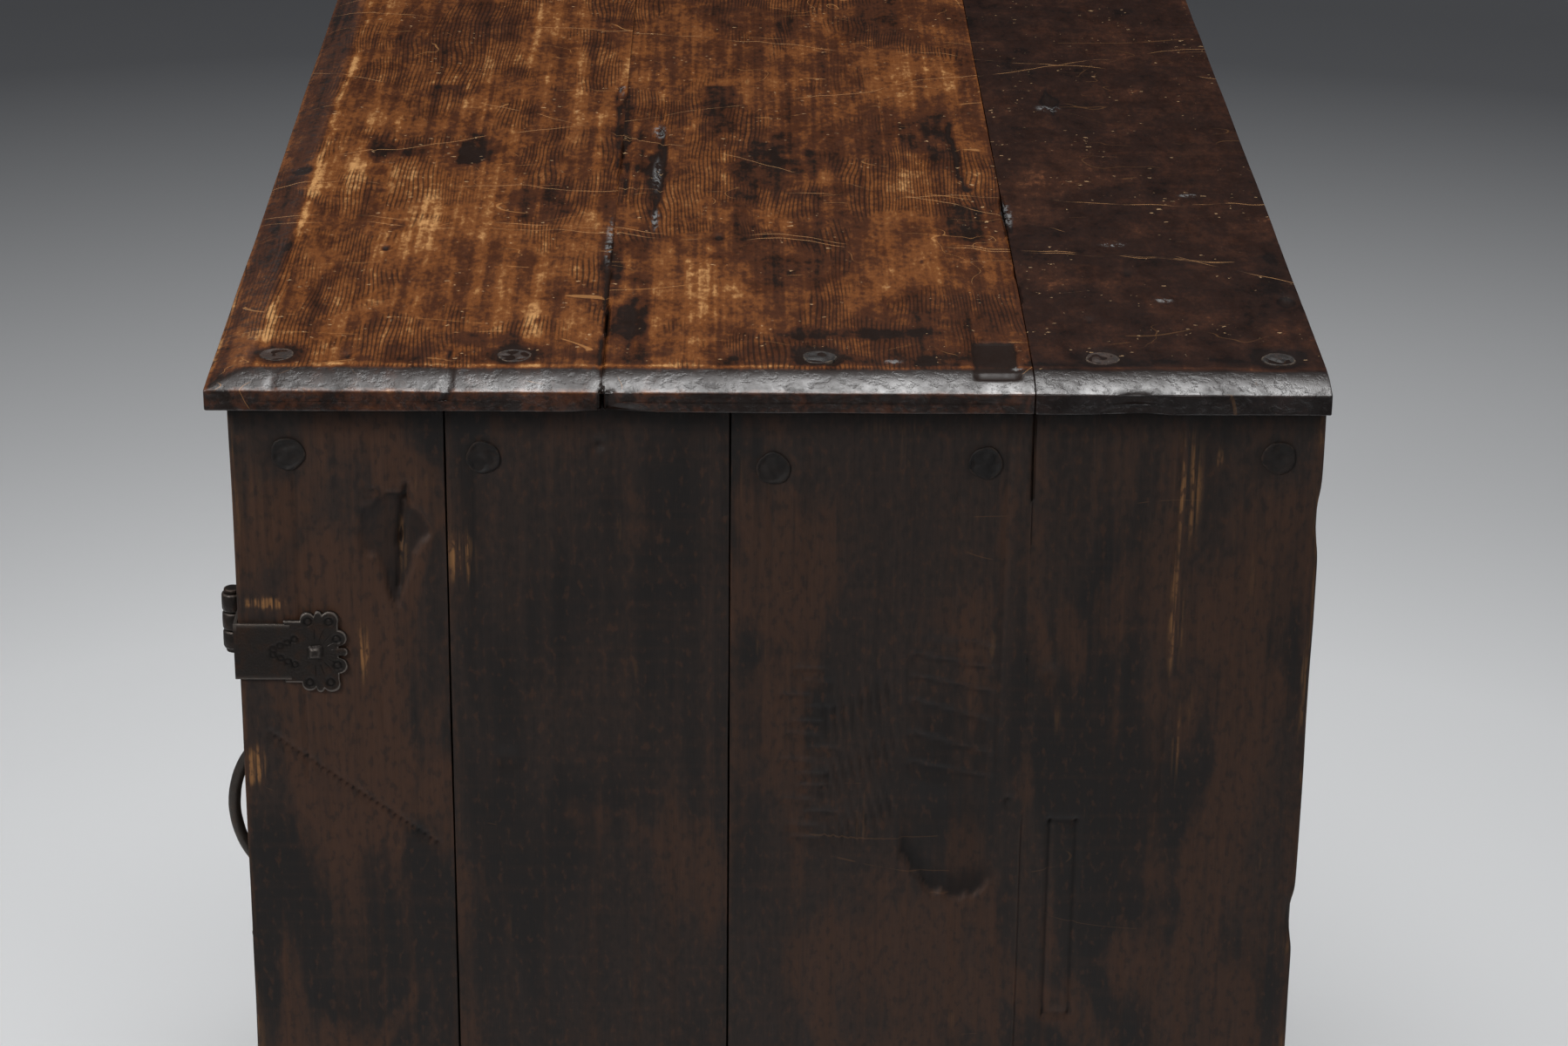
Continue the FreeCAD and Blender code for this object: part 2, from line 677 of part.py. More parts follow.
# Back: three upright boards that stand in the back rail's groove and against the floor.
BACK_BOARD_BASE = f"({FLOOR_TOP} - floor_thick - back_drop)"
BACK_BOARD_COUNT = 3
for number in range(BACK_BOARD_COUNT):
    corner = (f"{number} * {SPAN} / {BACK_BOARD_COUNT} - {INSIDE}", BACK_BOARD, BACK_BOARD_BASE)
    height = f"{BACK_RAIL_BASE} + back_tongue - {BACK_BOARD_BASE}"
    board = box(f"back_{number + 1}", corner, (f"{SPAN} / {BACK_BOARD_COUNT}", "back_thick", height))
    keep(board, f"back_board_{number + 1}")

# Cleats on the inside of each end, under the top, the shelf and the floor.
BEHIND_RAIL = f"({FRONT} + rail_thick)"
BEHIND_DOOR = f"({DOOR_REAR} + stop_gap)"
SHELF_BASE = "(shelf_height - shelf_thick)"
FLOOR_BASE = f"({FLOOR_TOP} - floor_thick)"
CLEATS = (
    ("top", BEHIND_RAIL, f"({BACK} - rail_thick)", "case_height", "cleat_thick", "cleat_height"),
    ("floor", BEHIND_RAIL, BACK_BOARD, FLOOR_BASE, "cleat_thick", "cleat_height"),
    ("shelf", BEHIND_DOOR, BACK_BOARD, SHELF_BASE, "shelf_cleat_thick", "shelf_cleat_height"),
)
for name, start_y, end_y, top_z, thick, height in CLEATS:
    corner = (f"{INSIDE} - {thick}", start_y, f"{top_z} - {height}")
    cleat = box(f"{name}_cleat", corner, (thick, f"{end_y} - {start_y}", height))
    if name != "shelf":
        cleat = cut(f"{name}_cleat_pegged", cleat, [right_holes])
    keep(cleat, f"right_{name}_cleat")
    keep(across(f"{name}_cleat_twin", cleat), f"left_{name}_cleat")

# Floor of two boards on the floor cleats, and one shelf on the shelf cleats.
FLOOR_BOARDS = (
    ("front", BEHIND_RAIL, "floor_front_width"),
    ("rear", f"{BEHIND_RAIL} + floor_front_width", f"{BACK_BOARD} - {BEHIND_RAIL} - floor_front_width"),
)
for name, start_y, width in FLOOR_BOARDS:
    board = box(f"floor_{name}", (f"-{INSIDE}", start_y, FLOOR_BASE), (SPAN, width, "floor_thick"))
    keep(board, f"floor_board_{name}")
STOCK_DEPTH = f"({CHAMBER_DEPTH} + key_nose_length + stock_back)"
SHELF_FRONT = f"({DOOR_REAR} + {STOCK_DEPTH} + shelf_setback)"
shelf_size = (SPAN, f"{BACK_BOARD} - {SHELF_FRONT}", "shelf_thick")
keep(box("shelf", (f"-{INSIDE}", SHELF_FRONT, SHELF_BASE), shelf_size), "shelf_board")

# Door frames, made for the right door: three rails tenoned into two stiles and pegged, with one
# groove all round each opening for the panels.
DOOR_RAILS = (
    ("top", f"({DOOR_TOP} - door_top_rail)", "door_top_rail"),
    ("mid", f"({DOOR_BOTTOM} + door_bottom_rail + {OPENING_HEIGHT})", "door_mid_rail"),
    ("bottom", DOOR_BOTTOM, "door_bottom_rail"),
)
OPENING_WIDTH = f"({OPENING_RIGHT} - {OPENING_LEFT})"
PEG_LEFT = f"({OPENING_LEFT} - tenon_length / 2)"
PEG_RIGHT = f"({OPENING_RIGHT} + tenon_length / 2)"
JOINT_PEG_SIDES = 8
joint_pegs = []
joint_holes = []
left_mortises = []
right_mortises = []
for name, base, height in DOOR_RAILS:
    for side, peg_x in (("inner", PEG_LEFT), ("outer", PEG_RIGHT)):
        for kind, proud, bucket in (("peg", "joint_peg_proud", joint_pegs), ("hole", "0", joint_holes)):
            start = (peg_x, f"{FRONT} - {proud}", f"{base} + {height} / 2")
            length = f"door_thick + {proud}"
            label = f"{name}_{side}_{kind}"
            bucket.append(peg(label, start, "joint_peg_radius", length, JOINT_PEG_SIDES, ALONG_Y))
    socket_size = ("tenon_length + tenon_spare", "tenon_thick", f"{height} - 2 * tenon_shoulder")
    left_corner = (f"{OPENING_LEFT} - tenon_length - tenon_spare", TENON_FRONT, f"{base} + tenon_shoulder")
    left_mortises.append(box(f"{name}_left_mortise", left_corner, socket_size))
    right_corner = (OPENING_RIGHT, TENON_FRONT, f"{base} + tenon_shoulder")
    right_mortises.append(box(f"{name}_right_mortise", right_corner, socket_size))
    rail = box(f"{name}_rail_bar", (OPENING_LEFT, FRONT, base), (OPENING_WIDTH, "door_thick", height))
    tenon_corner = (f"{OPENING_LEFT} - tenon_length", TENON_FRONT, f"{base} + tenon_shoulder")
    tenon_size = (f"{OPENING_WIDTH} + 2 * tenon_length", "tenon_thick", f"{height} - 2 * tenon_shoulder")
    rail = join(f"{name}_rail_tenoned", [rail, box(f"{name}_tenon", tenon_corner, tenon_size)])
    tools = joint_holes[-2:]
    groove_size = (OPENING_WIDTH, "tenon_thick", "groove_depth")
    if name != "bottom":
        tools.append(box(f"{name}_groove_below", (OPENING_LEFT, TENON_FRONT, base), groove_size))
    if name != "top":
        groove_corner = (OPENING_LEFT, TENON_FRONT, f"{base} + {height} - groove_depth")
        tools.append(box(f"{name}_groove_above", groove_corner, groove_size))
    rail = cut(f"{name}_rail", rail, tools)
    keep(rail, f"right_door_{name}_rail")
    keep(across(f"{name}_rail_twin", rail), f"left_door_{name}_rail")
door_peg_group = group("door_peg_group", joint_pegs)
keep(door_peg_group, "right_door_pegs")
keep(across("door_peg_twin", door_peg_group), "left_door_pegs")

STILE_HEIGHT = f"({DOOR_TOP} - {DOOR_BOTTOM})"
GROOVE_BASE = f"({DOOR_BOTTOM} + door_bottom_rail - groove_depth)"
groove_size = ("groove_depth", "tenon_thick", f"{DOOR_TOP} - door_top_rail + groove_depth - {GROOVE_BASE}")
stile_size = ("stile_width", "door_thick", STILE_HEIGHT)
left_groove = box("left_groove", (f"{OPENING_LEFT} - groove_depth", TENON_FRONT, GROOVE_BASE), groove_size)
right_groove = box("right_groove", (OPENING_RIGHT, TENON_FRONT, GROOVE_BASE), groove_size)
hinge_stile = cut(
    "hinge_stile",
    box("hinge_stile_bar", (OPENING_RIGHT, FRONT, DOOR_BOTTOM), stile_size),
    right_mortises + [right_groove] + joint_holes + [door_nail_holes, low_door_nail_holes],
)
keep(hinge_stile, "right_hinge_stile")
keep(across("hinge_stile_twin", hinge_stile), "left_hinge_stile")
meeting_stile = cut(
    "meeting_stile",
    box("meeting_stile_bar", (DOOR_INNER, FRONT, DOOR_BOTTOM), stile_size),
    left_mortises + [left_groove] + joint_holes,
)
meeting_stile_twin = across("meeting_stile_twin", meeting_stile)

# Carved panels: a tongue in the frame's groove and a raised field with a border round its sunk
# ground, cut with a compass rosette. Two balls that cross cut each petal, so that it has a sharp
# floor; each corner of the ground has a short cut of its own.


def petal(name, middle, half_length, half_width, depth, angle):
    """The tool of one petal, from the petal's middle and its angle in degrees."""
    arc = f"((({half_length}) ^ 2 + ({half_width}) ^ 2) / (2 * {half_width}))"
    rise = f"((({half_length}) ^ 2 - ({depth}) ^ 2) / (2 * {depth}))"
    radius = f"sqrt({arc} ^ 2 + {rise} ^ 2)"
    balls = []
    for side, sign in (("one", "+"), ("two", "-")):
        offset = f"({arc} - {half_width})"
        ball_x = f"{middle[0]} {sign} {offset} * sin({angle} deg)"
        ball_z = f"{middle[1]} {sign} {offset} * -cos({angle} deg)"
        balls.append(ball(f"{name}_{side}", (ball_x, f"{GROUND} - {rise}", ball_z), radius))
    tool = doc.addObject("Part::Common", name)
    tool.Base = balls[0]
    tool.Tool = balls[1]
    return tool


UPPER_BASE = f"({DOOR_TOP} - door_top_rail - {OPENING_HEIGHT})"
FIELD_FRONT = f"({TENON_FRONT} - field_rise)"
GROUND = f"({FIELD_FRONT} + ground_sink)"
ROSETTE_X = f"(({OPENING_LEFT} + {OPENING_RIGHT}) / 2)"
ROSETTE_Z = f"({UPPER_BASE} + {OPENING_HEIGHT} / 2)"
TONGUE = "(groove_depth - groove_spare)"
tongue = box(
    "panel_tongue",
    (f"{OPENING_LEFT} - {TONGUE}", TENON_FRONT, f"{UPPER_BASE} - {TONGUE}"),
    (f"{OPENING_WIDTH} + 2 * {TONGUE}", "tenon_thick", f"{OPENING_HEIGHT} + 2 * {TONGUE}"),
)
blank_pieces = [tongue]
ground_tools = []
for name, margin, depth, bucket in (
    ("panel_field", "field_margin", "field_rise", blank_pieces),
    ("panel_ground", "(field_margin + border_width)", "ground_sink", ground_tools),
):
    corner = (f"{OPENING_LEFT} + {margin}", FIELD_FRONT, f"{UPPER_BASE} + {margin}")
    size = (f"{OPENING_WIDTH} - 2 * {margin}", depth, f"{OPENING_HEIGHT} - 2 * {margin}")
    bucket.append(box(name, corner, size))
PETAL_COUNT = 6
carving = []
for number in range(PETAL_COUNT):
    angle = 90 + 360 / PETAL_COUNT * number
    middle_x = f"{ROSETTE_X} + petal_from_centre * cos({angle} deg)"
    middle_z = f"{ROSETTE_Z} + petal_from_centre * sin({angle} deg)"
    petal_size = ("petal_half_length", "petal_half_width", "petal_depth")
    carving.append(petal(f"petal_{number + 1}", (middle_x, middle_z), *petal_size, angle))
for side, right, up in (("right", 1, 1), ("left", -1, 1), ("low_right", 1, -1), ("low_left", -1, -1)):
    middle_x = f"{ROSETTE_X} + {right} * ({OPENING_WIDTH} / 2 - corner_inset)"
    middle_z = f"{ROSETTE_Z} + {up} * ({OPENING_HEIGHT} / 2 - corner_inset)"
    corner_size = ("corner_half_length", "corner_half_width", "corner_depth")
    carving.append(petal(f"{side}_corner_cut", (middle_x, middle_z), *corner_size, 45 * right * up))
upper_panel = cut("upper_panel", cut("sunk_panel", join("panel_blank", blank_pieces), ground_tools), carving)
MID_RAIL_MIDDLE = f"({DOOR_BOTTOM} + door_bottom_rail + {OPENING_HEIGHT} + door_mid_rail / 2)"
lower_panel = below("lower_panel", upper_panel, MID_RAIL_MIDDLE)
for name, panel in (("upper", upper_panel), ("lower", lower_panel)):
    keep(panel, f"right_{name}_panel")
    keep(across(f"{name}_panel_twin", panel), f"left_{name}_panel")

# Pull: an iron bar hammered to eight sides and bent to a half round, which stands out from the right
# meeting stile on two driven tangs.
BAR_SIDES = 8
BAR_MIDDLE = "(handle_radius - handle_bar / 2)"
body = doc.addObject("PartDesign::Body", "handle_body")
bar_corners = []
for number in range(BAR_SIDES):
    angle = 360 / BAR_SIDES * (number + 0.5)
    corner_radius = f"(handle_bar / 2 / cos({180 / BAR_SIDES} deg))"
    bar_corners.append(
        (f"{BAR_MIDDLE} + {corner_radius} * cos({angle} deg)", f"{corner_radius} * sin({angle} deg)")
    )
bar_section = outline(body, "XY_Plane", bar_corners)
bend = body.newObject("PartDesign::Revolution", "handle_bend")
bend.Profile = bar_section
bend.ReferenceAxis = (bar_section, ["V_Axis"])
bend.Angle = 180
standing = FreeCAD.Rotation(
    FreeCAD.Vector(0, 0, 1), FreeCAD.Vector(1, 0, 0), FreeCAD.Vector(0, 1, 0), "XYZ"
)
place(body, (HANDLE_X, FRONT, HANDLE_Z), standing)
handle_pieces = [body]
tang_holes = []
for name, sign in (("upper", "+"), ("lower", "-")):
    tang_z = f"{HANDLE_Z} {sign} {BAR_MIDDLE} - tang_thick / 2"
    corner = (f"{HANDLE_X} - tang_thick / 2", FRONT, tang_z)
    for kind, bucket in (("tang", handle_pieces), ("tang_hole", tang_holes)):
        bucket.append(box(f"{name}_{kind}", corner, ("tang_thick", "tang_length", "tang_thick")))
keep(join("handle", handle_pieces), "door_handle")

# Lock on the right meeting stile: escutcheon in front, wooden stock behind, and inside it the bolt,
# which the key's bit carries to and fro in a notch.
PLATE_FRONT = f"({FRONT} - escutcheon_thick)"
plate_middle = (HANDLE_X, PLATE_FRONT, KEY_Z)
escutcheon_pieces = [
    rod("escutcheon_disc", plate_middle, "escutcheon_radius", "escutcheon_thick", ALONG_Y)
]
escutcheon_nails = []
escutcheon_nail_holes = []
for name, sign in (("left", "-"), ("right", "+")):
    lobe_x = f"{HANDLE_X} {sign} (escutcheon_radius + escutcheon_lobe_out)"
    lobe_at = (lobe_x, PLATE_FRONT, KEY_Z)
    lobe_size = ("escutcheon_lobe", "escutcheon_thick", LOBE_SIDES, ALONG_Y)
    escutcheon_pieces.append(peg(f"escutcheon_{name}_lobe", lobe_at, *lobe_size))
    fixing, fixing_hole = nail(f"escutcheon_{name}_nail", *lobe_at, False)
    escutcheon_nails.append(fixing)
    escutcheon_nail_holes.append(fixing_hole)
KEYHOLE_LENGTH = "escutcheon_thick + door_thick"
slot_corner = (f"{HANDLE_X} - keyhole_slot / 2", PLATE_FRONT, f"{KEY_Z} - bit_radius - bit_spare")
keyhole = join(
    "keyhole",
    [
        rod("keyhole_round", plate_middle, "keyhole_radius", KEYHOLE_LENGTH, ALONG_Y),
        box("bit_slot", slot_corner, ("keyhole_slot", KEYHOLE_LENGTH, "bit_radius + bit_spare")),
    ],
)
escutcheon = cut("escutcheon", join("escutcheon_blank", escutcheon_pieces), [keyhole] + escutcheon_nail_holes)
keep(escutcheon, "escutcheon")
right_door_nails = group("right_door_nail_group", [door_hinge_nails] + escutcheon_nails)
keep(right_door_nails, "right_door_nails")
keep(across("left_door_nail_group", door_hinge_nails), "left_door_nails")
keep(cut("lock_stile", meeting_stile, tang_holes + [keyhole] + escutcheon_nail_holes), "right_meeting_stile")

BOLT_BASE = f"({KEY_Z} + bolt_lift)"
STOCK_BASE = f"({KEY_Z} - bit_radius - stock_wall)"
STOCK_TOP = f"({BOLT_BASE} + bolt_height + stock_wall)"
CHANNEL_LENGTH = "(bolt_length + bolt_clearance)"
stock = box(
    "stock_block",
    (STOCK_X, DOOR_REAR, STOCK_BASE),
    (f"{CHANNEL_LENGTH} + stock_wall", STOCK_DEPTH, f"{STOCK_TOP} - {STOCK_BASE}"),
)
channel = box(
    "bolt_channel",
    (STOCK_X, DOOR_REAR, f"{BOLT_BASE} - bolt_clearance"),
    (CHANNEL_LENGTH, CHANNEL_DEPTH, "bolt_height + 2 * bolt_clearance"),
)
lock_middle = (HANDLE_X, DOOR_REAR, KEY_Z)
chamber = rod("key_chamber", lock_middle, "bit_radius + bit_spare", CHAMBER_DEPTH, ALONG_Y)
nose_hole = rod(
    "nose_hole",
    (HANDLE_X, f"{DOOR_REAR} + {CHAMBER_DEPTH}", KEY_Z),
    "key_nose_radius + key_nose_clearance",
    "key_nose_length",
    ALONG_Y,
)
keep(cut("stock", stock, [channel, chamber, nose_hole]), "lock_stock")

bolt_bar = box(
    "bolt_bar",
    (STOCK_X, f"{DOOR_REAR} + bolt_clearance", BOLT_BASE),
    ("bolt_length", "bolt_thick", "bolt_height"),
)
notch_half = "(bit_thick / 2 + notch_clearance)"
bolt_notch = box(
    "bolt_notch",
    (f"{HANDLE_X} + {BOLT_THROW} / 2 - {notch_half}", DOOR_REAR, BOLT_BASE),
    (f"2 * {notch_half}", CHANNEL_DEPTH, "bit_radius - bolt_lift + notch_clearance"),
)
keep(cut("bolt", bolt_bar, [bolt_notch]), "lock_bolt")

BOW_Y = "(bow_radius - key_reach)"
SHANK_START = f"({BOW_Y} + (bow_radius + bow_hole_radius) / 2)"
BIT_START = "(door_thick + bit_setback)"
SHANK_END = f"(door_thick + {CHAMBER_DEPTH})"
body = doc.addObject("PartDesign::Body", "key_body")


def key_feature(kind, name, sizes, start, turn):
    """Add one plain form to the key, which is drawn with its bit upright and its axis along Y."""
    feature = body.newObject(f"PartDesign::{kind}", name)
    bind(feature, sizes)
    return place(feature, start, turn)


BOW_SIDE = ("-bow_thick / 2", BOW_Y, "0")
for kind, name, radius in (
    ("AdditiveCylinder", "bow_disc", "bow_radius"),
    ("SubtractiveCylinder", "bow_hole", "bow_hole_radius"),
):
    key_feature(kind, name, {"Radius": radius, "Height": "bow_thick"}, BOW_SIDE, ALONG_X)
KEY_RODS = (
    ("shank", "key_shank_radius", SHANK_START, f"{SHANK_END} - {SHANK_START}"),
    ("collar", "key_collar_radius", f"{BOW_Y} + bow_radius", "key_collar_length"),
    ("nose", "key_nose_radius", SHANK_END, "key_nose_length - key_nose_spare"),
)
for name, radius, start_y, length in KEY_RODS:
    key_feature("AdditiveCylinder", name, {"Radius": radius, "Height": length}, ("0", start_y, "0"), ALONG_Y)
bit_size = {"Length": "bit_thick", "Width": "bit_width", "Height": "bit_radius"}
key_feature("AdditiveBox", "bit", bit_size, ("-bit_thick / 2", BIT_START, "0"), ALONG_Z)
place(body, (HANDLE_X, FRONT, KEY_Z), FreeCAD.Rotation(FreeCAD.Vector(0, 1, 0), SIZES["key_half_turn"]))
bind(body, {"Placement.Rotation.Angle": "key_half_turn * 1 deg"})
keep(body, "key")

# Staple on the left door that takes the bolt, and the wooden button that holds that door shut.
STAPLE_X = f"(-{DOOR_INNER} - staple_inset - staple_width)"
GAP_BASE = f"({BOLT_BASE} - staple_clearance)"
GAP_HEIGHT = "(bolt_height + 2 * staple_clearance)"
GAP_DEPTH = "(bolt_thick + bolt_clearance + staple_clearance)"
staple_block = box(
    "staple_block",
    (STAPLE_X, f"{DOOR_REAR} - staple_leg", f"{GAP_BASE} - staple_bar"),
    ("staple_width", f"staple_leg + {GAP_DEPTH} + staple_bar", f"{GAP_HEIGHT} + 2 * staple_bar"),
)
staple_gap = box(
    "staple_gap",
    (STAPLE_X, f"{DOOR_REAR} - staple_leg", GAP_BASE),
    ("staple_width", f"staple_leg + {GAP_DEPTH}", GAP_HEIGHT),
)
keep(cut("staple", staple_block, [staple_gap]), "bolt_staple")
leg_holes = []
for name, base in (("lower", f"{GAP_BASE} - staple_bar"), ("upper", f"{GAP_BASE} + {GAP_HEIGHT}")):
    corner = (STAPLE_X, f"{DOOR_REAR} - staple_leg", base)
    leg_holes.append(box(f"{name}_leg_hole", corner, ("staple_width", "staple_leg", "staple_bar")))

BUTTON_X = f"(-{DOOR_INNER} - button_edge_inset)"
BUTTON_Y = f"({DOOR_REAR} + button_gap)"
BUTTON_Z = f"({DOOR_TOP} - button_drop)"
SPINDLE_Y = f"({DOOR_REAR} - spindle_length)"
TIP_X = f"({BUTTON_X} - button_reach)"
arm_corner = (TIP_X, BUTTON_Y, f"{BUTTON_Z} - button_tip_radius")
spindle_start = (BUTTON_X, SPINDLE_Y, BUTTON_Z)
hole_radius = "spindle_radius + spindle_clearance"
button_pieces = [
    rod("button_hub", (BUTTON_X, BUTTON_Y, BUTTON_Z), "button_hub_radius", "button_thick", ALONG_Y),
    rod("button_tip", (TIP_X, BUTTON_Y, BUTTON_Z), "button_tip_radius", "button_thick", ALONG_Y),
    box("button_arm", arm_corner, ("button_reach", "button_thick", "2 * button_tip_radius")),
    rod("button_spindle", spindle_start, "spindle_radius", "spindle_length + button_gap", ALONG_Y),
]
spindle_hole = rod("spindle_hole", spindle_start, hole_radius, "spindle_length", ALONG_Y)
keep(join("button", button_pieces), "turn_button")
keep(cut("staple_stile", meeting_stile_twin, leg_holes + [spindle_hole]), "left_meeting_stile")

# Build, test every piece, and write each one to its own file.
doc.recompute()
for item in doc.Objects:
    if "Invalid" in item.State or "Error" in item.State:
        raise RuntimeError(f"{item.Name} could not be built: {item.State}")
for item in nodes:
    if item.Shape.isNull() or not item.Shape.isValid() or not item.Shape.Solids:
        raise RuntimeError(f"{item.Label} is not a valid solid")
os.makedirs("parts", exist_ok=True)
for item in nodes:
    item.Shape.exportStep(os.path.join("parts", f"{item.Label}.step"))
print(f"wrote {len(nodes)} pieces")
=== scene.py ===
import bpy
import numpy as np
from mathutils import Matrix, Vector


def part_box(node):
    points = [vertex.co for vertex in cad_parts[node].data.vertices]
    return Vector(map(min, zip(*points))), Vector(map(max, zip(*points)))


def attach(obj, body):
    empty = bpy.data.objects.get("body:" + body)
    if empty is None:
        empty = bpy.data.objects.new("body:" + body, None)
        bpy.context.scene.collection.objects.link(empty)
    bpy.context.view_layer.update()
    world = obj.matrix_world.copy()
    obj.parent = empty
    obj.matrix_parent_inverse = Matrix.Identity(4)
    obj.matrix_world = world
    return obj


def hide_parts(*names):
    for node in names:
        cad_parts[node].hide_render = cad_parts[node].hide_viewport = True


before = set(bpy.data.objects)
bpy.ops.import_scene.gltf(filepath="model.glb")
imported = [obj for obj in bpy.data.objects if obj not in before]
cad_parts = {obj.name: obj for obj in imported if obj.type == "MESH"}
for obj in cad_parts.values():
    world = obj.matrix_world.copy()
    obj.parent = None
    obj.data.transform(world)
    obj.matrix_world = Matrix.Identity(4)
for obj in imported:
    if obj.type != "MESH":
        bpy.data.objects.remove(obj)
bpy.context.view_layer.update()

# End planks: four upright boards at each end, sawn and planed walnut under an old dark stain that
# has worn through at the arrises. They are pegged to rails and cleats, and the outer two are feet.
MM = 0.001
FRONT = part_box("right_side_plank_1")[0].y
CASE_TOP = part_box("right_side_plank_1")[1].z
END_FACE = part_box("right_side_plank_1")[1].x
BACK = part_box("right_side_plank_4")[1].y


def box_of(node):
    """Low and high corners of a node's box, as arrays."""
    return [np.array(corner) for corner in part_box(node)]


def rough(points, seed, size, waves=28):
    """Soft random relief of about unit height: a sum of sine waves whose lengths are spread about a
    size, each with its own direction and start."""
    draw = np.random.default_rng(seed)
    headings = draw.normal(size=(waves, 3))
    headings /= np.linalg.norm(headings, axis=1, keepdims=True)
    lengths = size * 2 ** draw.uniform(-1, 1, waves)
    phases = draw.uniform(0, 2 * np.pi, waves)
    turns = points @ (headings / lengths[:, None]).T * 2 * np.pi + phases
    return np.sin(turns).sum(-1) / np.sqrt(waves)


def fade(value, start, end):
    """Smooth step: 0 at start, 1 at end, level at both."""
    share = np.clip((value - start) / (end - start), 0, 1)
    return share * share * (3 - 2 * share)


def ring(corners, radius, counts, reach, arc=5):
    """Closed outline: straight runs joined by quadratic arcs that leave each run a radius from its
    corner. It also gives how near each point is to an arris, from 0 to 1."""
    before = np.roll(corners, 1, axis=-2) - corners
    after = np.roll(corners, -1, axis=-2) - corners
    leave = corners + before / np.linalg.norm(before, axis=-1, keepdims=True) * radius[..., None]
    join = corners + after / np.linalg.norm(after, axis=-1, keepdims=True) * radius[..., None]
    bend = np.linspace(0, 1, arc)[:, None]
    outline = []
    nearness = []
    for number, count in enumerate(counts):
        first = leave[:, number, None]
        last = join[:, number, None]
        middle = corners[:, number, None]
        outline.append((1 - bend) ** 2 * first + 2 * bend * (1 - bend) * middle + bend ** 2 * last)
        nearness.append(np.ones(outline[-1].shape[:2]))
        share = (np.arange(count) + 1)[:, None] / (count + 1)
        run = leave[:, (number + 1) % len(counts), None] - last
        outline.append(last + run * share)
        length = np.linalg.norm(run, axis=-1) * np.minimum(share, 1 - share).T
        nearness.append(np.exp(-length / reach))
    return np.concatenate(outline, axis=1), np.concatenate(nearness, axis=1)


def outward(points):
    """Unit normals of a grid of rings, pointing away from the middle of each ring."""
    around = np.roll(points, -1, axis=1) - np.roll(points, 1, axis=1)
    along = np.gradient(points, axis=0)
    normal = np.cross(around, along)
    normal /= np.maximum(np.linalg.norm(normal, axis=-1, keepdims=True), 1e-12)
    return normal * np.sign(np.sum(normal * (points - points.mean(1, keepdims=True))))


ARRIS_WAVE = 90 * MM
FACE_WAVE = 70 * MM
CHIP_SIZE = 22 * MM
CAP_SHARES = (0.97, 0.75, 0.4, 0.1)


def board(low, high, along, steps, seed, radius=1.2 * MM, ends=1.2 * MM, wave=0.25 * MM, chip=1.5 * MM,
          relief=None, shape=None, step=4 * MM, reach=5 * MM):
    """A board: a rounded rectangle carried along its length. The arris radius wanders, the faces
    sink by a soft wave, chips eat into the arrises, and relief gives a further depth at a point."""
    low, high = np.array(low), np.array(high)
    across, over = (along + 1) % 3, (along + 2) % 3
    quarter = np.linspace(0, np.pi / 2, 4)
    count = max(2, int((high[along] - low[along]) / step))
    middle = np.linspace(low[along] + ends, high[along] - ends, count)[1:-1]
    half = min(high[across] - low[across], high[over] - low[over]) / 2
    rise = np.concatenate([np.zeros(len(CAP_SHARES)), ends * (1 - np.cos(quarter))])
    cap = ends + (half - ends) * np.array(CAP_SHARES)
    draw_in = np.concatenate([cap, ends * (1 - np.sin(quarter))])
    place = np.concatenate([low[along] + rise, middle, (high[along] - rise)[::-1]])
    inset = np.concatenate([draw_in, 0 * middle, draw_in[::-1]])
    corners = np.array([(0, 0), (1, 0), (1, 1), (0, 1)]) * (high - low)[[across, over]] + low[[across, over]]
    sides = np.sign(corners - corners.mean(0))
    corners = corners - sides * inset[:, None, None]
    track = np.stack([np.broadcast_to(place[:, None], (len(place), 4)),
                      np.broadcast_to(np.arange(4) * 0.37, (len(place), 4)),
                      np.full((len(place), 4), seed * 0.11)], axis=-1)
    radii = np.array(radius) * (1 + 0.5 * np.clip(rough(track, seed, ARRIS_WAVE), -1, 1.6))
    radii = np.minimum(radii, 0.6 * (half - inset)[:, None])
    sizes = [high[across] - low[across], high[over] - low[over]] * 2
    counts = [max(1, int(size / each)) for size, each in zip(sizes, steps)]
    outline, nearness = ring(corners, radii, counts, reach)
    points = np.zeros((*outline.shape[:2], 3))
    points[..., along] = place[:, None]
    points[..., across] = outline[..., 0]
    points[..., over] = outline[..., 1]
    if shape:
        points = shape(points)
    stretch = np.full(3, 1.0)
    stretch[along] = 0.3
    depth = wave * (0.5 + 0.5 * np.clip(rough(points * stretch, seed, FACE_WAVE), -1, 1))
    depth = depth + chip * nearness ** 2 * fade(rough(points * stretch, seed + 1, CHIP_SIZE), 1.5, 2.6)
    if relief:
        depth = depth + relief(points)
    points = points - outward(points) * depth[..., None]
    end_wear = np.exp(-np.minimum(place - place[0], place[-1] - place) / reach)
    return points, {"wear_and_highlight": np.maximum(nearness, end_wear[:, None]), "edge": nearness}


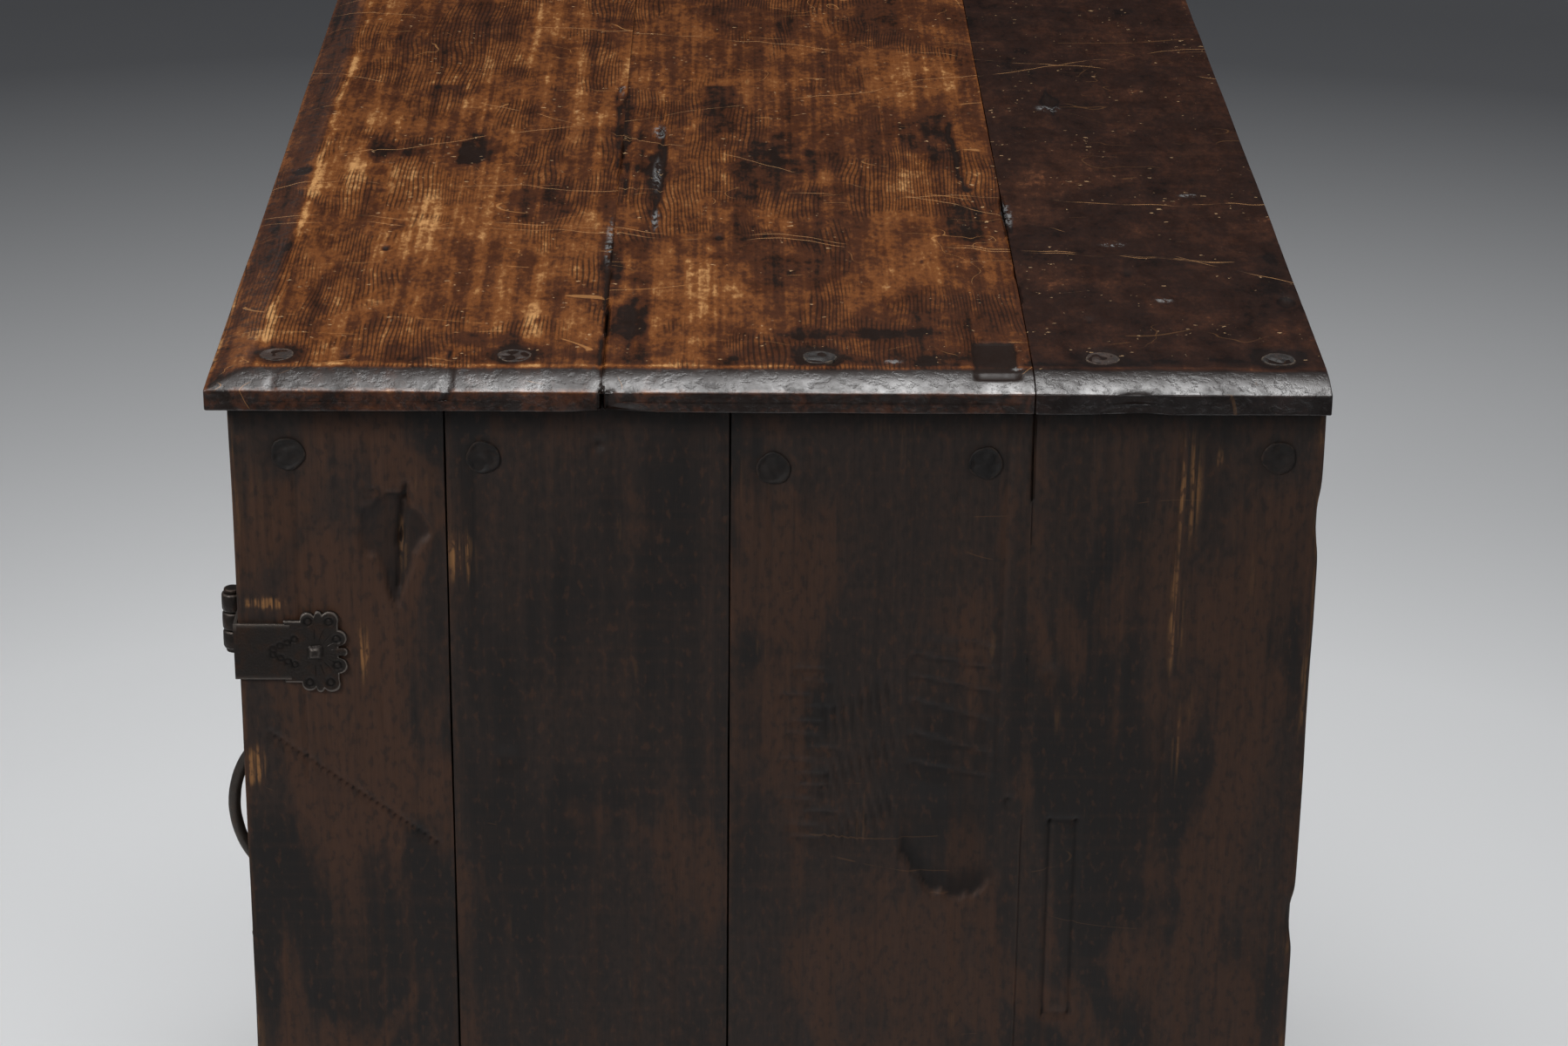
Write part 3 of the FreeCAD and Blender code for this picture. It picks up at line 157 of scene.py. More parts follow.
def surface(name, grids, body, material, slot, *nodes):
    """One mesh from grids of closed rings. Each grid is walled with quads, its two ends are closed,
    and its faces are turned so that the volume is positive. Marks go on as point attributes."""
    vertices = []
    faces = []
    marks = {}
    total = 0
    for points, given in grids:
        rows, columns = points.shape[:2]
        index = np.arange(rows * columns).reshape(rows, columns)
        turned = np.roll(index, -1, axis=1)
        quads = np.stack([index[:-1], turned[:-1], turned[1:], index[1:]], axis=-1).reshape(-1, 4)
        flat = points.reshape(-1, 3) - points.mean((0, 1))
        corner = flat[quads]
        volume = np.einsum("ij,ij->", corner[:, 0], np.cross(corner[:, 1], corner[:, 2]))
        volume += np.einsum("ij,ij->", corner[:, 0], np.cross(corner[:, 2], corner[:, 3]))
        caps = [index[0][::-1].tolist(), index[-1].tolist()]
        if volume < 0:
            quads = quads[:, ::-1]
            caps = [cap[::-1] for cap in caps]
        faces += (quads + total).tolist()
        faces += [[corner + total for corner in cap] for cap in caps]
        vertices.append(points.reshape(-1, 3))
        total += rows * columns
        for mark in ("wear_and_highlight", "stain_and_shade", "tone", "warm"):
            value = given.get(mark, 0.0)
            marks.setdefault(mark, []).append(np.broadcast_to(value, (rows, columns)).reshape(-1))
    mesh = bpy.data.meshes.new(name)
    mesh.from_pydata(np.concatenate(vertices).tolist(), [], faces)
    for mark, values in marks.items():
        layer = mesh.attributes.new(mark, "FLOAT", "POINT")
        layer.data.foreach_set("value", np.concatenate(values).astype(np.float32))
    mesh.shade_smooth()
    mesh.materials.append(material)
    made = bpy.data.objects.new(name, mesh)
    bpy.context.scene.collection.objects.link(made)
    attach(made, body)
    if nodes:
        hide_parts(*nodes)


def colour(hexcode):
    """Linear colour from an sRGB hex value."""
    parts = np.array([int(hexcode[start:start + 2], 16) for start in (1, 3, 5)]) / 255
    linear = np.where(parts <= 0.04045, parts / 12.92, ((parts + 0.055) / 1.055) ** 2.4)
    return (*linear, 1.0)


def add(tree, kind, inputs=(), out=0, **settings):
    """Add a shader node with its settings, set or link its inputs, and give one of its outputs."""
    made = tree.nodes.new(f"ShaderNode{kind}")
    for option, value in settings.items():
        setattr(made, option, value)
    for socket, value in dict(inputs).items():
        if isinstance(value, bpy.types.NodeSocket):
            tree.links.new(value, made.inputs[socket])
        else:
            made.inputs[socket].default_value = value
    return made.outputs[out]


def coat(name):
    """A new material, with its node tree and its shader."""
    material = bpy.data.materials.new(name)
    material.use_nodes = True
    return material, material.node_tree, material.node_tree.nodes["Principled BSDF"]


def fields(tree, along, rows):
    """What a wood draws on, by name: the marks of the mesh, and noises stretched along the grain. A row
    has a noise's size across the grain and along it, in millimetres, its detail, bend and roughness.
    The tone of a piece moves its noises, so that no two pieces are alike."""
    field = {"place": add(tree, "TexCoord", out="Object")}
    for mark in ("wear_and_highlight", "stain_and_shade", "tone", "warm"):
        field[mark] = add(tree, "Attribute", out="Fac", attribute_name=mark)
    shift = add(tree, "Attribute", out="Vector", attribute_name="tone")
    settings = {0: shift, 1: (7, 7, 7), 2: field["place"]}
    field["moved"] = add(tree, "VectorMath", settings, operation="MULTIPLY_ADD")
    for kind, across_mm, along_mm, detail, bent, fine in rows:
        scale = [1000 / across_mm] * 3
        scale[along] = 1000 / along_mm
        stretched = add(tree, "VectorMath", {0: field["moved"], 1: scale}, operation="MULTIPLY")
        settings = {"Vector": stretched, "Scale": 1, "Detail": detail, "Distortion": bent, "Roughness": fine}
        field[kind] = add(tree, "TexNoise", settings)
    return field


SMOOTH = {"interpolation_type": "SMOOTHSTEP"}


def masked(tree, field, rows):
    """Adds a field for each row: a share, cut down by each of the row's masks in turn. A mask lets
    through nothing at its low value and all at its high one."""
    for kind, share, masks in rows:
        for mask, low, high in masks:
            share = add(tree, "MapRange", {0: field[mask], 1: low, 2: high, 4: share}, **SMOOTH)
        field[kind] = share


def tinted(tree, field, shade, rows):
    """A colour under a row of tints, each laid on by its share where its field goes from low to high."""
    for kind, low, high, share, tint in rows:
        share = add(tree, "MapRange", {0: field[kind], 1: low, 2: high, 4: share}, **SMOOTH)
        shade = add(tree, "Mix", {0: share, 6: shade, 7: colour(tint)}, 2, data_type="RGBA")
    return shade


def summed(tree, field, total, rows):
    """A total with each row's field added to it, times the row's weight."""
    for kind, weight in rows:
        total = add(tree, "Math", {0: field[kind], 1: weight, 2: total}, operation="MULTIPLY_ADD")
    return total


def wood(name, along, dark, plain, warm, worn, gloss, worn_share=0.5, fibre=0.5, toned=0.35, scuffed=0.5,
         bands=0.75, shine=0.5):
    """Walnut, sawn along one axis and finished: fibres a millimetre or two wide run with the grain,
    patches of stain a hand wide change its colour, and the arrises are rubbed through to bare wood.
    The eye gets a dull wax sheen, broken by pores, brush marks and fine scratches. Pores and
    scratches are drawn about twice as coarse as real ones, so that they show."""
    material, tree, shader = coat(name)
    field = fields(tree, along, (
        ("fibres", 2.2, 70, 4, 0, 0.5), ("pores", 0.9, 14, 2, 0, 0.5), ("streaks", 9, 260, 3, 0.4, 0.5),
        ("patches", 100, 210, 4, 0.8, 0.5), ("warmth", 60, 120, 5, 1, 0.5), ("strokes", 120, 5, 5, 0, 0.5),
        ("grit", 3.5, 6, 6, 0, 0.5), ("rubbing", 9, 30, 6, 0, 0.5), ("scuffing", 16, 55, 6, 0, 0.5),
        ("lines", 240, 60, 1, 0, 0.5), ("islands", 50, 50, 4, 0, 0.5)))
    for kind, pulls in (("patches", (("warm", 0.10), ("streaks", 0.25))),
                        ("warmth", (("warm", 0.14), ("streaks", 0.25))), ("rubbing", (("wear_and_highlight", 0.16),))):
        field[kind] = summed(tree, field, field[kind], pulls)
    field["lines"] = add(tree, "Math", {0: field["lines"], 1: 0.5, 2: 0.0015}, operation="COMPARE")
    # The rubbed share follows the wear mark: real wear at the arrises and rubbed places, and on carved ridges
    # a painted highlight.
    masked(tree, field, (
        ("rubbed", worn_share, (("wear_and_highlight", 0, 1), ("rubbing", 0.44, 0.62), ("fibres", 0.62, 0.40),
                                ("grit", 0.30, 0.50))),
        ("scuffs", scuffed, (("scuffing", 0.66, 0.74), ("fibres", 0.4, 0.6))),
        ("scratch", scuffed, (("lines", 0, 1), ("islands", 0.60, 0.64)))))
    # The stain mark is laid on near black: real stain, and painted shade in the hollows of marks, flutes and
    # carving.
    shade = tinted(tree, field, colour(dark), (
        ("patches", 0.52, 0.70, 1, plain), ("warmth", 0.60, 0.76, 0.8, warm),
        ("streaks", 0.48, 0.72, bands, warm), ("fibres", 0.45, 0.75, fibre, dark),
        ("strokes", 0.48, 0.70, 0.15, warm), ("tone", 0, 1, toned, dark),
        ("grit", 0.50, 0.66, 0.55, dark), ("grit", 0.46, 0.30, 0.45, warm),
        ("rubbed", 0, 1, 1, worn), ("scuffs", 0, 1, 1, worn),
        ("stain_and_shade", 0, 1, 1, "#0d0a09"), ("scratch", 0, 1, 1, worn)))
    polish = add(tree, "MapRange", {0: field["streaks"], 1: 0.3, 2: 0.75, 3: gloss, 4: gloss + 0.22})
    polish = summed(tree, field, polish, (("stain_and_shade", 0.2),))
    height = summed(tree, field, 0, (
        ("fibres", 0.5), ("pores", 0.35), ("strokes", 0.2), ("grit", 0.5), ("scratch", -0.3)))
    bump = add(tree, "Bump", {"Height": height, "Distance": 0.0005, "Strength": 0.7})
    shader.inputs["Specular IOR Level"].default_value = shine
    for socket, value in (("Base Color", shade), ("Roughness", polish), ("Normal", bump)):
        tree.links.new(value, shader.inputs[socket])
    return material


def end_place(points):
    """Places on an end as pairs: millimetres from the front edge and below the top."""
    return np.stack([(points[..., 1] - FRONT) / MM, (CASE_TOP - points[..., 2]) / MM], axis=-1)


def spot(place, first, second, reach_first, reach_second):
    """Closeness, from 0 to 1, to one place on a face, with a reach each way, in millimetres."""
    gap = ((place[..., 0] - first) / reach_first) ** 2 + ((place[..., 1] - second) / reach_second) ** 2
    return np.exp(-gap)


def window(value, low, high, rise, fall):
    """Share, from 0 to 1, of lying between two limits: it rises past the low one and falls before the
    high one."""
    return fade(value, low, low + rise) * fade(high - value, 0, fall)


def slit(place, start, end, half_width):
    """Closeness, from 0 to 1, to a straight cut between two places on a face, in millimetres."""
    start, end = np.array(start), np.array(end)
    run = end - start
    share = np.clip((place - start) @ run / (run @ run), 0, 1)
    gap = np.linalg.norm(place - start - share[..., None] * run, axis=-1)
    return np.exp(-(gap / half_width) ** 2)


# Pegs on both ends, and the marks on the right one, in millimetres from the front edge and below the top.
# A split has its two ends, half its width and its depth. A dent has its reach each way and its depth.
PEGS = ((28.4, 27.9), (122.8, 29.3), (263.5, 34.4), (366.7, 31.1), (508.9, 27.7),
        (28.4, 755.5), (122.8, 755.5), (263.5, 755.5), (429.8, 755.5))
PEG_HALO = 10.5
SPLITS = (
    ((31, 38), (32, 200), 1.0, 1.2), ((13.9, 178), (97, 240), 1.1, 1.9), ((378, 0), (377, 190), 1.0, 1.1),
    ((463, 10), (459, 220), 1.0, 0.8), ((263, 44), (262, 80), 0.9, 0.8), ((470, 0), (470, 90), 0.9, 0.6),
    ((428, 20), (426, 120), 0.9, 0.5), ((355, 45), (352, 120), 0.9, 0.5), ((390, 0), (389.7, 50), 0.9, 1.0),
    ((85, 44), (81, 74), 1.8, 2.8), ((82, 70), (80, 99), 1.2, 2.2), ((66, 46), (84, 51), 1.2, 1.6),
    ((36, 62), (62, 63), 0.9, 0.6), ((70, 152), (71, 175), 1.0, 0.8))
END_DENTS = ((532, 280, 5, 10, 5), (532, 60, 4, 12, 3), (131, 191, 6, 5, 1.2), (402, 144, 4, 5, 1.6),
             (179, 22, 3, 3, 2.2), (383, 214, 2, 2, 2.2))
KNOT = (78, 66)
KNOT_REACH = (19, 18)
KNOT_FOOT = 113
HATCH_PITCH = 4.6
GOUGE_PITCH = 14.5
STRIP_SIDES = (404.3, 418)
STRIP_ENDS = (225, 336)


def knot(place):
    """Share, from 0 to 1, of the dished knot: a lumpy oval with a steep rim, and a tail that narrows
    downwards."""
    back, below = np.moveaxis(place, -1, 0)
    turn = np.arctan2(below - KNOT[1], back - KNOT[0])
    lumps = 0.06 * np.sin(3 * turn + 0.6) + 0.05 * np.sin(5 * turn + 2.0) + 0.04 * np.sin(9 * turn)
    dish = fade(1 - np.linalg.norm((place - KNOT) / KNOT_REACH, axis=-1) + lumps, 0, 0.22)
    width = np.clip(0.34 * (KNOT_FOOT - below), 0.8, 15)
    tail = fade(1 - np.abs(back - 79 - 0.10 * (below - 95) - 1.5 * np.sin(below / 6)) / width, 0, 0.35)
    return np.maximum(dish, tail * window(below, 60, KNOT_FOOT, 14, 10))


def end_marks(points):
    """Depth of the marks on the right end: hollows round the pegs, a dished knot with its shake, chisel
    hatching, slanting gouge cuts, a sunk patch with a broken foot, an inlaid strip and long splits."""
    place = end_place(points)
    back, below = np.moveaxis(place, -1, 0)
    depth = sum(1.8 * spot(place, *peg, PEG_HALO, PEG_HALO) for peg in PEGS)
    depth = depth + knot(place) * (2.2 - 1.3 * spot(place, 71, 68, 8, 12))
    for start, end, width, deep in SPLITS:
        depth = depth + deep * slit(place, start, end, width)
    for *oval, deep in END_DENTS:
        depth = depth + deep * spot(place, *oval)
    hatch = window(back, 286, 328, 6, 5) * window(below, 140, 246, 10, 14)
    slant = back - 0.18 * (below - 190) - 1.2 * np.sin(below / 17)
    grooves = 0.5 + 0.5 * np.sin(2 * np.pi * slant / HATCH_PITCH)
    depth = depth + 1.7 * hatch * grooves * (0.6 + 0.4 * np.sin(below / 5.3 + back / 9))
    for row in range(14):
        start = 276 + 7 * np.sin(row * 2.4)
        level = 142 + row * 7.2
        depth = depth + 1.3 * slit(place, (start, level), (start + 13, level + 1), 1.6)
    share = ((below - 0.25 * (back - 337) - 131 + 2.5 * np.sin(below / 11)) / GOUGE_PITCH) % 1
    gouged = window(back, 329, 378, 7, 8) * window(below, 122, 208, 8, 10)
    depth = depth + 2.6 * gouged * (1 - share) ** 1.6 * fade(share, 0, 0.2)
    foot = 247 + 20 * fade(back, 329, 346) + 4 * fade(back, 346, 358) - 12 * fade(back, 360, 384)
    foot = foot + 1.1 * np.sin(back * 0.55) + 0.7 * np.sin(back * 1.05 + 1)
    sunk = window(back, 327.5, 388, 3, 22) * window(below, 194, foot, 32, 3.5)
    depth = depth + 1.6 * sunk + 1.0 * sunk * fade(below - foot, -22, -5)
    for side, level in zip(STRIP_SIDES, STRIP_ENDS):
        depth = depth + 1.9 * slit(place, (side, STRIP_ENDS[0]), (side, STRIP_ENDS[1]), 1.2)
        depth = depth + 1.9 * slit(place, (STRIP_SIDES[0], level), (STRIP_SIDES[1], level), 1.2)
    return np.maximum(depth, 0) * MM * (points[..., 0] > END_FACE - 4 * MM)


# Places where the stain is rubbed away, or is warmer or blacker: the middle, the reach each way and the
# strength of each.
RUBBED = (
    (466, 45, 7, 32, 0.85), (463, 110, 4, 45, 0.9), (466, 180, 3, 40, 0.6), (480, 29, 3, 8, 0.6),
    (450, 27, 4, 9, 0.6), (111, 82, 7, 17, 1.1), (15, 107, 14, 3.2, 1.3), (61, 134, 4, 20, 1.0),
    (82.5, 78, 2.2, 18, 1.3), (5, 196, 7, 12, 1.3), (93, 43, 9, 10, 0.4), (406, 166, 3, 14, 0.45),
    (134, 290, 5, 16, 0.5), (191, 320, 4, 8, 0.5), (247, 40, 2, 20, 0.4), (14, 50, 14, 40, 0.3),
    (500, 90, 4, 25, 0.35), (330, 12, 40, 6, 0.4), (28, 60, 5, 9, 0.45))
WARMED = ((54, 160, 55, 85, 0.9), (15, 50, 18, 55, 1.0), (93, 40, 14, 16, 0.8), (185, 170, 60, 170, -0.7),
          (287, 90, 40, 45, 0.7), (335, 185, 50, 55, -0.9), (285, 294, 40, 40, 0.7), (487, 155, 40, 130, 0.6),
          (429, 235, 22, 50, -0.6))


def end_wear(points):
    """Rubbed places on the right end, where the stain has gone: soft ovals at the spots of the list."""
    place = end_place(points)
    rubbed = np.zeros(place.shape[:-1])
    for *oval, strength in RUBBED:
        rubbed = np.maximum(rubbed, strength * spot(place, *oval))
    return rubbed * (points[..., 0] > 0)


def end_warm(points):
    """Where the stain on the right end has turned warm, above 0, or stayed black, below 0."""
    place = end_place(points)
    warm = sum(strength * spot(place, *oval) for *oval, strength in WARMED)
    return np.clip(warm, -1, 1) * (points[..., 0] > 0)


def plain_marks(points):
    """Depth of the marks on the left end: hollows round the pegs and a few long splits."""
    place = end_place(points)
    depth = sum(1.3 * spot(place, *peg, 11, 11) for peg in PEGS)
    depth = depth + 1.0 * slit(place, (47, 40), (45, 260), 0.9) + 0.9 * slit(place, (330, 0), (333, 240), 0.9)
    depth = depth + 1.4 * spot(place, 196, 330, 13, 17) + 0.8 * slit(place, (455, 420), (452, 830), 1.0)
    return depth * MM * (points[..., 0] < 4 * MM - END_FACE)


def end_stain_and_shade(points, marks):
    """Old stain and painted shade: the knot is darker; every deep mark and the dish round each peg are
    darkened, partly as dirt and partly as painted shade in the hollows; and a band just under the top is
    painted shade from its overhang.
    """
    place = end_place(points)
    # Partly dirt, partly painted shade: the deeper a mark, the darker it is.
    dark = fade(marks, 0.7 * MM, 2.6 * MM) * 0.75
    # Painted shade: a dark band along the top of the end, where the top's overhang shades it.
    dark = np.maximum(dark, 0.75 * fade(-place[..., 1], -14, 0))
    # Painted shade, with some dirt: a dark ring over the dish round each peg.
    for peg in PEGS:
        dark = np.maximum(dark, 0.8 * spot(place, *peg, PEG_HALO, PEG_HALO))
    return np.clip(np.maximum(dark, 0.55 * knot(place) * (points[..., 0] > 0)), 0, 1)


end_wood = wood("dark stained walnut", 2, "#14100e", "#261c17", "#3e2719", "#7e5833", gloss=0.48,
                worn_share=0.8, fibre=0.35, toned=0.3, scuffed=0.25, bands=0.2, shine=0.28)
ARCH_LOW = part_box("right_side_plank_2")[0].y
ARCH_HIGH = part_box("right_side_plank_3")[1].y
ARCH_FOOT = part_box("right_side_plank_2")[0].z
ARCH_RISE = 40 * MM


def arc_rise(off, width, rise):
    """Height of a low circle's arc over its chord, at a distance from the chord's middle."""
    big = width ** 2 / (8 * rise) + rise / 2
    return rise - big + np.sqrt(big ** 2 - off ** 2)


def lifted(points, top, base, foot):
    """Moves a piece's flat base up to a curved foot: each point keeps its share of the height."""
    share = (top - points[..., 2]) / (top - base)
    moved = points.copy()
    moved[..., 2] = top - share * (top - foot)
    return moved


def arched(points):
    """Moves the lower end of a plank up to the arch between the feet."""
    off = points[..., 1] - (ARCH_LOW + ARCH_HIGH) / 2
    foot = ARCH_FOOT + arc_rise(off, ARCH_HIGH - ARCH_LOW, ARCH_RISE)
    return lifted(points, CASE_TOP, ARCH_FOOT, foot)


PLANK_TONES = (0.2, 0.75, 0.6, 0.6)
PLANK_CHIPS = (0.8, 0.8, 0.2, 0.4)
JOINT_GAPS = np.array([0, 0.3, 0.3, -0.4, 0]) * MM
FRONT_ARRISES = (3, 1, 1, 0.2)
BACK_ARRISES = (1, 1, 0.2, 4)
for side, outer, fine, marks in (("right", 0, 1.5 * MM, end_marks), ("left", 2, 3.5 * MM, plain_marks)):
    face, front_corner, back_corner = (1, 1, 2) if side == "right" else (3, 0, 3)
    for number in range(1, 5):
        node = f"{side}_side_plank_{number}"
        low, high = box_of(node)
        low[1] += JOINT_GAPS[number - 1]
        high[1] -= JOINT_GAPS[number]
        steps = [fine if edge == face else 14 * MM for edge in range(4)]
        arrises = np.full(4, 0.5 * MM)
        arrises[front_corner] *= FRONT_ARRISES[number - 1]
        arrises[back_corner] *= BACK_ARRISES[number - 1]
        shape = arched if number in (2, 3) else None
        points, given = board(low, high, 2, steps, 10 * number + outer, arrises, 1.2 * MM, 0.45 * MM,
                              PLANK_CHIPS[number - 1] * MM, marks, shape, 1.45 * fine)
        from_edge = np.minimum(points[..., 1] - FRONT, BACK - points[..., 1])
        given["wear_and_highlight"] = given["wear_and_highlight"] * (0.1 + 0.4 * fade(-from_edge, -14 * MM, -4 * MM))
        given["wear_and_highlight"] = np.maximum(given["wear_and_highlight"], end_wear(points))
        given["stain_and_shade"] = end_stain_and_shade(points, marks(points))
        given["warm"] = end_warm(points)
        given["tone"] = PLANK_TONES[number - 1]
        surface(f"{side}_plank_{number}", [(points, given)], "case", end_wood, "dark_walnut_ends", node)

# Cleats, floor, shelf and back: rough-sawn boards that were never stained, left to darken inside.
# The cleats are pegged to the ends, the floor and shelf lie on them, and the back is let into a rail.
SAWN = {"gloss": 0.62, "worn_share": 0.35, "fibre": 0.4, "toned": 0.25}
inner_x = wood("sawn walnut lengthwise", 0, "#33241a", "#5a4331", "#6d5038", "#8a6a4a", **SAWN)
inner_y = wood("sawn walnut crosswise", 1, "#33241a", "#5a4331", "#6d5038", "#8a6a4a", **SAWN)
inner_z = wood("sawn walnut upright", 2, "#2b1f17", "#4a382a", "#5a4331", "#7d6045", **SAWN)
CLEATS = ("top_cleat", "floor_cleat", "shelf_cleat")
LENGTHWISE = ("floor_board_front", "floor_board_rear", "shelf_board", "back_top_rail")
INNER = [(f"{side}_{cleat}", 1, inner_y) for side in ("right", "left") for cleat in CLEATS]
INNER += [(node, 0, inner_x) for node in LENGTHWISE]
INNER += [(f"back_board_{number}", 2, inner_z) for number in (1, 2, 3)]
JOINT_ROOM = 0.4 * MM
for number, (node, along, material) in enumerate(INNER):
    low, high = box_of(node)
    across = 0 if along != 0 else 1
    low[across] += JOINT_ROOM
    high[across] -= JOINT_ROOM
    points, given = board(low, high, along, [7 * MM] * 4, 100 + number, 1.0 * MM, 1.0 * MM, 0.6 * MM,
                          step=7 * MM)
    given["tone"] = (number * 0.37) % 1
    surface(node + "_sawn", [(points, given)], "case", material, "rough_inner_walnut", node)

# Front rails: planed walnut with a dark wax. The upper one has a row of gouged flutes and a lip behind,
# the lower one is an apron cut to a low arch; both are pegged between the ends.
WAXED = {"gloss": 0.38, "worn_share": 0.55, "fibre": 0.4, "toned": 0.3, "scuffed": 0.2, "bands": 0.4}
front_x = wood("waxed walnut lengthwise", 0, "#18110c", "#322217", "#4a3220", "#8a6138", **WAXED)
front_z = wood("waxed walnut upright", 2, "#18110c", "#322217", "#4a3220", "#8a6138", **WAXED)
RAIL_LOW, RAIL_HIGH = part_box("front_top_rail")
RAIL_MARGIN = 40 * MM
LIP_HEIGHT = 25 * MM
LIP_THICK = 27 * MM
FLUTE_PITCH = 22 * MM
FLUTE_MIDDLE = RAIL_LOW.z + 38 * MM
FLUTE_HALF = 20 * MM
FACE_DEPTH = 3 * MM


def flutes(points):
    """Depth of upright gouge cuts side by side: each is a trough with round ends, in a band between two
    scratched lines on the front face of the rail."""
    count = int((RAIL_HIGH.x - RAIL_LOW.x - RAIL_MARGIN) / FLUTE_PITCH)
    off = (points[..., 0] / FLUTE_PITCH + 0.5 * (count % 2)) % 1 - 0.5
    inside = np.abs(points[..., 0]) < count * FLUTE_PITCH / 2
    up = (points[..., 2] - FLUTE_MIDDLE) / FLUTE_HALF
    reach = np.clip(1 - (off / 0.40) ** 2 - np.clip(np.abs(up) - 0.55, 0, None) ** 2 / 0.2, 0, 1)
    band = 1.2 * np.exp(-((np.abs(up) - 1.25) / 0.05) ** 2)
    return (2.6 * np.sqrt(reach) + band) * inside * MM * (points[..., 1] < FRONT + FACE_DEPTH)


def lipped(points):
    """Pulls the lower part of the rail's back forwards, which leaves the lip."""
    moved = points.copy()
    thick = RAIL_HIGH.y - RAIL_LOW.y
    lip = 1 - fade(points[..., 2] - RAIL_LOW.z - LIP_HEIGHT, -0.5 * MM, 0.5 * MM)
    moved[..., 1] = RAIL_LOW.y + (points[..., 1] - RAIL_LOW.y) * (1 - lip * (1 - LIP_THICK / thick))
    return moved


points, given = board(RAIL_LOW, RAIL_HIGH, 0, [12 * MM, 2 * MM, 12 * MM, 1.6 * MM], 301, 1.2 * MM, 0.6 * MM,
                      0.3 * MM, relief=flutes, shape=lipped, step=2.2 * MM)
# Painted shade: each flute darkens with its depth.
given["stain_and_shade"] = 0.7 * fade(flutes(points), 0.8 * MM, 2.4 * MM)
given["tone"] = 0.3
surface("top_rail_fluted", [(points, given)], "case", front_x, "carved_walnut", "front_top_rail")

APRON_LOW, APRON_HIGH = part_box("front_bottom_rail")
APRON_WIDTH = 700 * MM
APRON_RISE = 24 * MM


def apron_foot(points):
    """Height of the apron's lower edge: level at the sides, and a low arch about the middle."""
    off = np.minimum(np.abs(points[..., 0]), APRON_WIDTH / 2)
    return APRON_LOW.z + arc_rise(off, APRON_WIDTH, APRON_RISE)


def apron(points):
    """Lifts the lower edge of the rail to its arch."""
    return lifted(points, APRON_HIGH.z, APRON_LOW.z, apron_foot(points))


def apron_line(points):
    """Depth of two scratched lines that follow the apron's arch."""
    up = (points[..., 2] - apron_foot(points)) / MM
    line = np.exp(-((up - 9) / 1.6) ** 2) + np.exp(-((up - 14) / 1.6) ** 2)
    return 1.4 * line * MM * (points[..., 1] < FRONT + FACE_DEPTH)


points, given = board(APRON_LOW, APRON_HIGH, 0, [12 * MM, 14 * MM, 12 * MM, 1.8 * MM], 302, 1.6 * MM,
                      0.6 * MM, 0.4 * MM, 2.5 * MM, relief=apron_line, shape=apron, step=4 * MM)
# Painted shade: the scratched lines darken with their depth.
given["stain_and_shade"] = 0.6 * fade(apron_line(points), 0.3 * MM, 1.2 * MM)
given["tone"] = 0.55
surface("apron_rail", [(points, given)], "case", front_x, "carved_walnut", "front_bottom_rail")

# Top: three thick boards of close-grained wood laid edge to edge and plugged down to the ends. The
# ends and the front are bevelled. Wax and wear have left gold where it is handled and dark elsewhere.
TOP_LOW, TOP_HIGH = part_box("top_board_front")
TOP_EDGE = 10.5 * MM
BEVEL_RUN = 20 * MM
BEVEL_RISE = TOP_HIGH.z - TOP_LOW.z - TOP_EDGE
PLUGS = (31.5, 146.5, 294.5, 432.2, 518.1)
PLUG_FROM_END = 38


def top_place(points):
    """Places on the top as pairs: millimetres from its front edge and from its nearer end."""
    return np.stack([(points[..., 1] - TOP_LOW.y) / MM, (TOP_HIGH.x - np.abs(points[..., 0])) / MM], axis=-1)


def bevelled(points):
    """Scales each board's thickness to a ceiling: the lesser, softly, of its full height and of the
    slopes that rise, a little rounded, from the square edge at the two ends and the front."""
    moved = points.copy()
    run = top_place(points).min(-1) * MM / BEVEL_RUN
    rise = 0.45 * run + 0.55 * np.sin(np.pi / 2 * np.clip(run, 0, 1))
    slope = TOP_EDGE + BEVEL_RISE * rise
    full = TOP_HIGH.z - TOP_LOW.z
    soft = 0.5 * MM
    ceiling = full - soft * np.log1p(np.exp(np.clip((full - slope) / soft, -30, 30)))
    moved[..., 2] = TOP_LOW.z + (points[..., 2] - TOP_LOW.z) * np.minimum(ceiling, full) / full
    return moved


# Marks on the top, in millimetres from its front edge and from its nearer end. A split has its line, where
# it starts and stops, half its width and its depth. A dent has its place, reach and depth.
TOP_SPLITS = (
    (115, 0, 60, 0.9, 1.1), (115, 150, 215, 0.8, 0.5), (188, 20, 190, 1.3, 1.3),
    (187, 330, 620, 1.2, 1.2), (193, 270, 400, 1.1, 1.0), (199, 270, 420, 0.9, 0.9),
    (212, 230, 420, 1.5, 1.6), (209, 420, 700, 1.2, 0.9), (204, 40, 110, 2.2, 0.9),
    (377, 305, 425, 1.6, 1.4), (372, 60, 110, 0.9, 1.0), (398, 225, 275, 2.0, 1.3),
    (52, 300, 520, 0.8, 0.6), (300, 420, 800, 0.8, 0.6), (437, 420, 520, 2.0, 0.9))
TOP_DENTS = (
    (71.5, 197, 2.6, 1.8), (245, 215, 3.2, 1.2), (234, 176, 2.2, 0.9), (110, 360, 9, 1.0), (301, 33, 4, 1.2),
    (66, 36, 3, 1.2), (437, 465, 7, 1.4), (24, 41, 4, 1.0), (532, 120, 5, 1.6), (15, 330, 6, 1.6),
    (380, 300, 5, 1.2), (455, 160, 4, 0.9), (430, 90, 3, 0.9), (350, 180, 3, 0.9), (160, 300, 3, 0.8),
    (488, 300, 5, 0.7))
EDGE_BITES = ((192, 0, 4, 4, 2.2), (203, 0, 4, 3, 1.2), (115, 0, 2, 6, 1.4), (32, 6, 1.6, 9, 0.9),
              (446, 0, 9, 2, 1.6))
BLOCK_SIDES = (369, 391)
BLOCK_ENDS = (13, 57)
BLOCK_SLIT = ((371, 13.5), (389, 13.5))


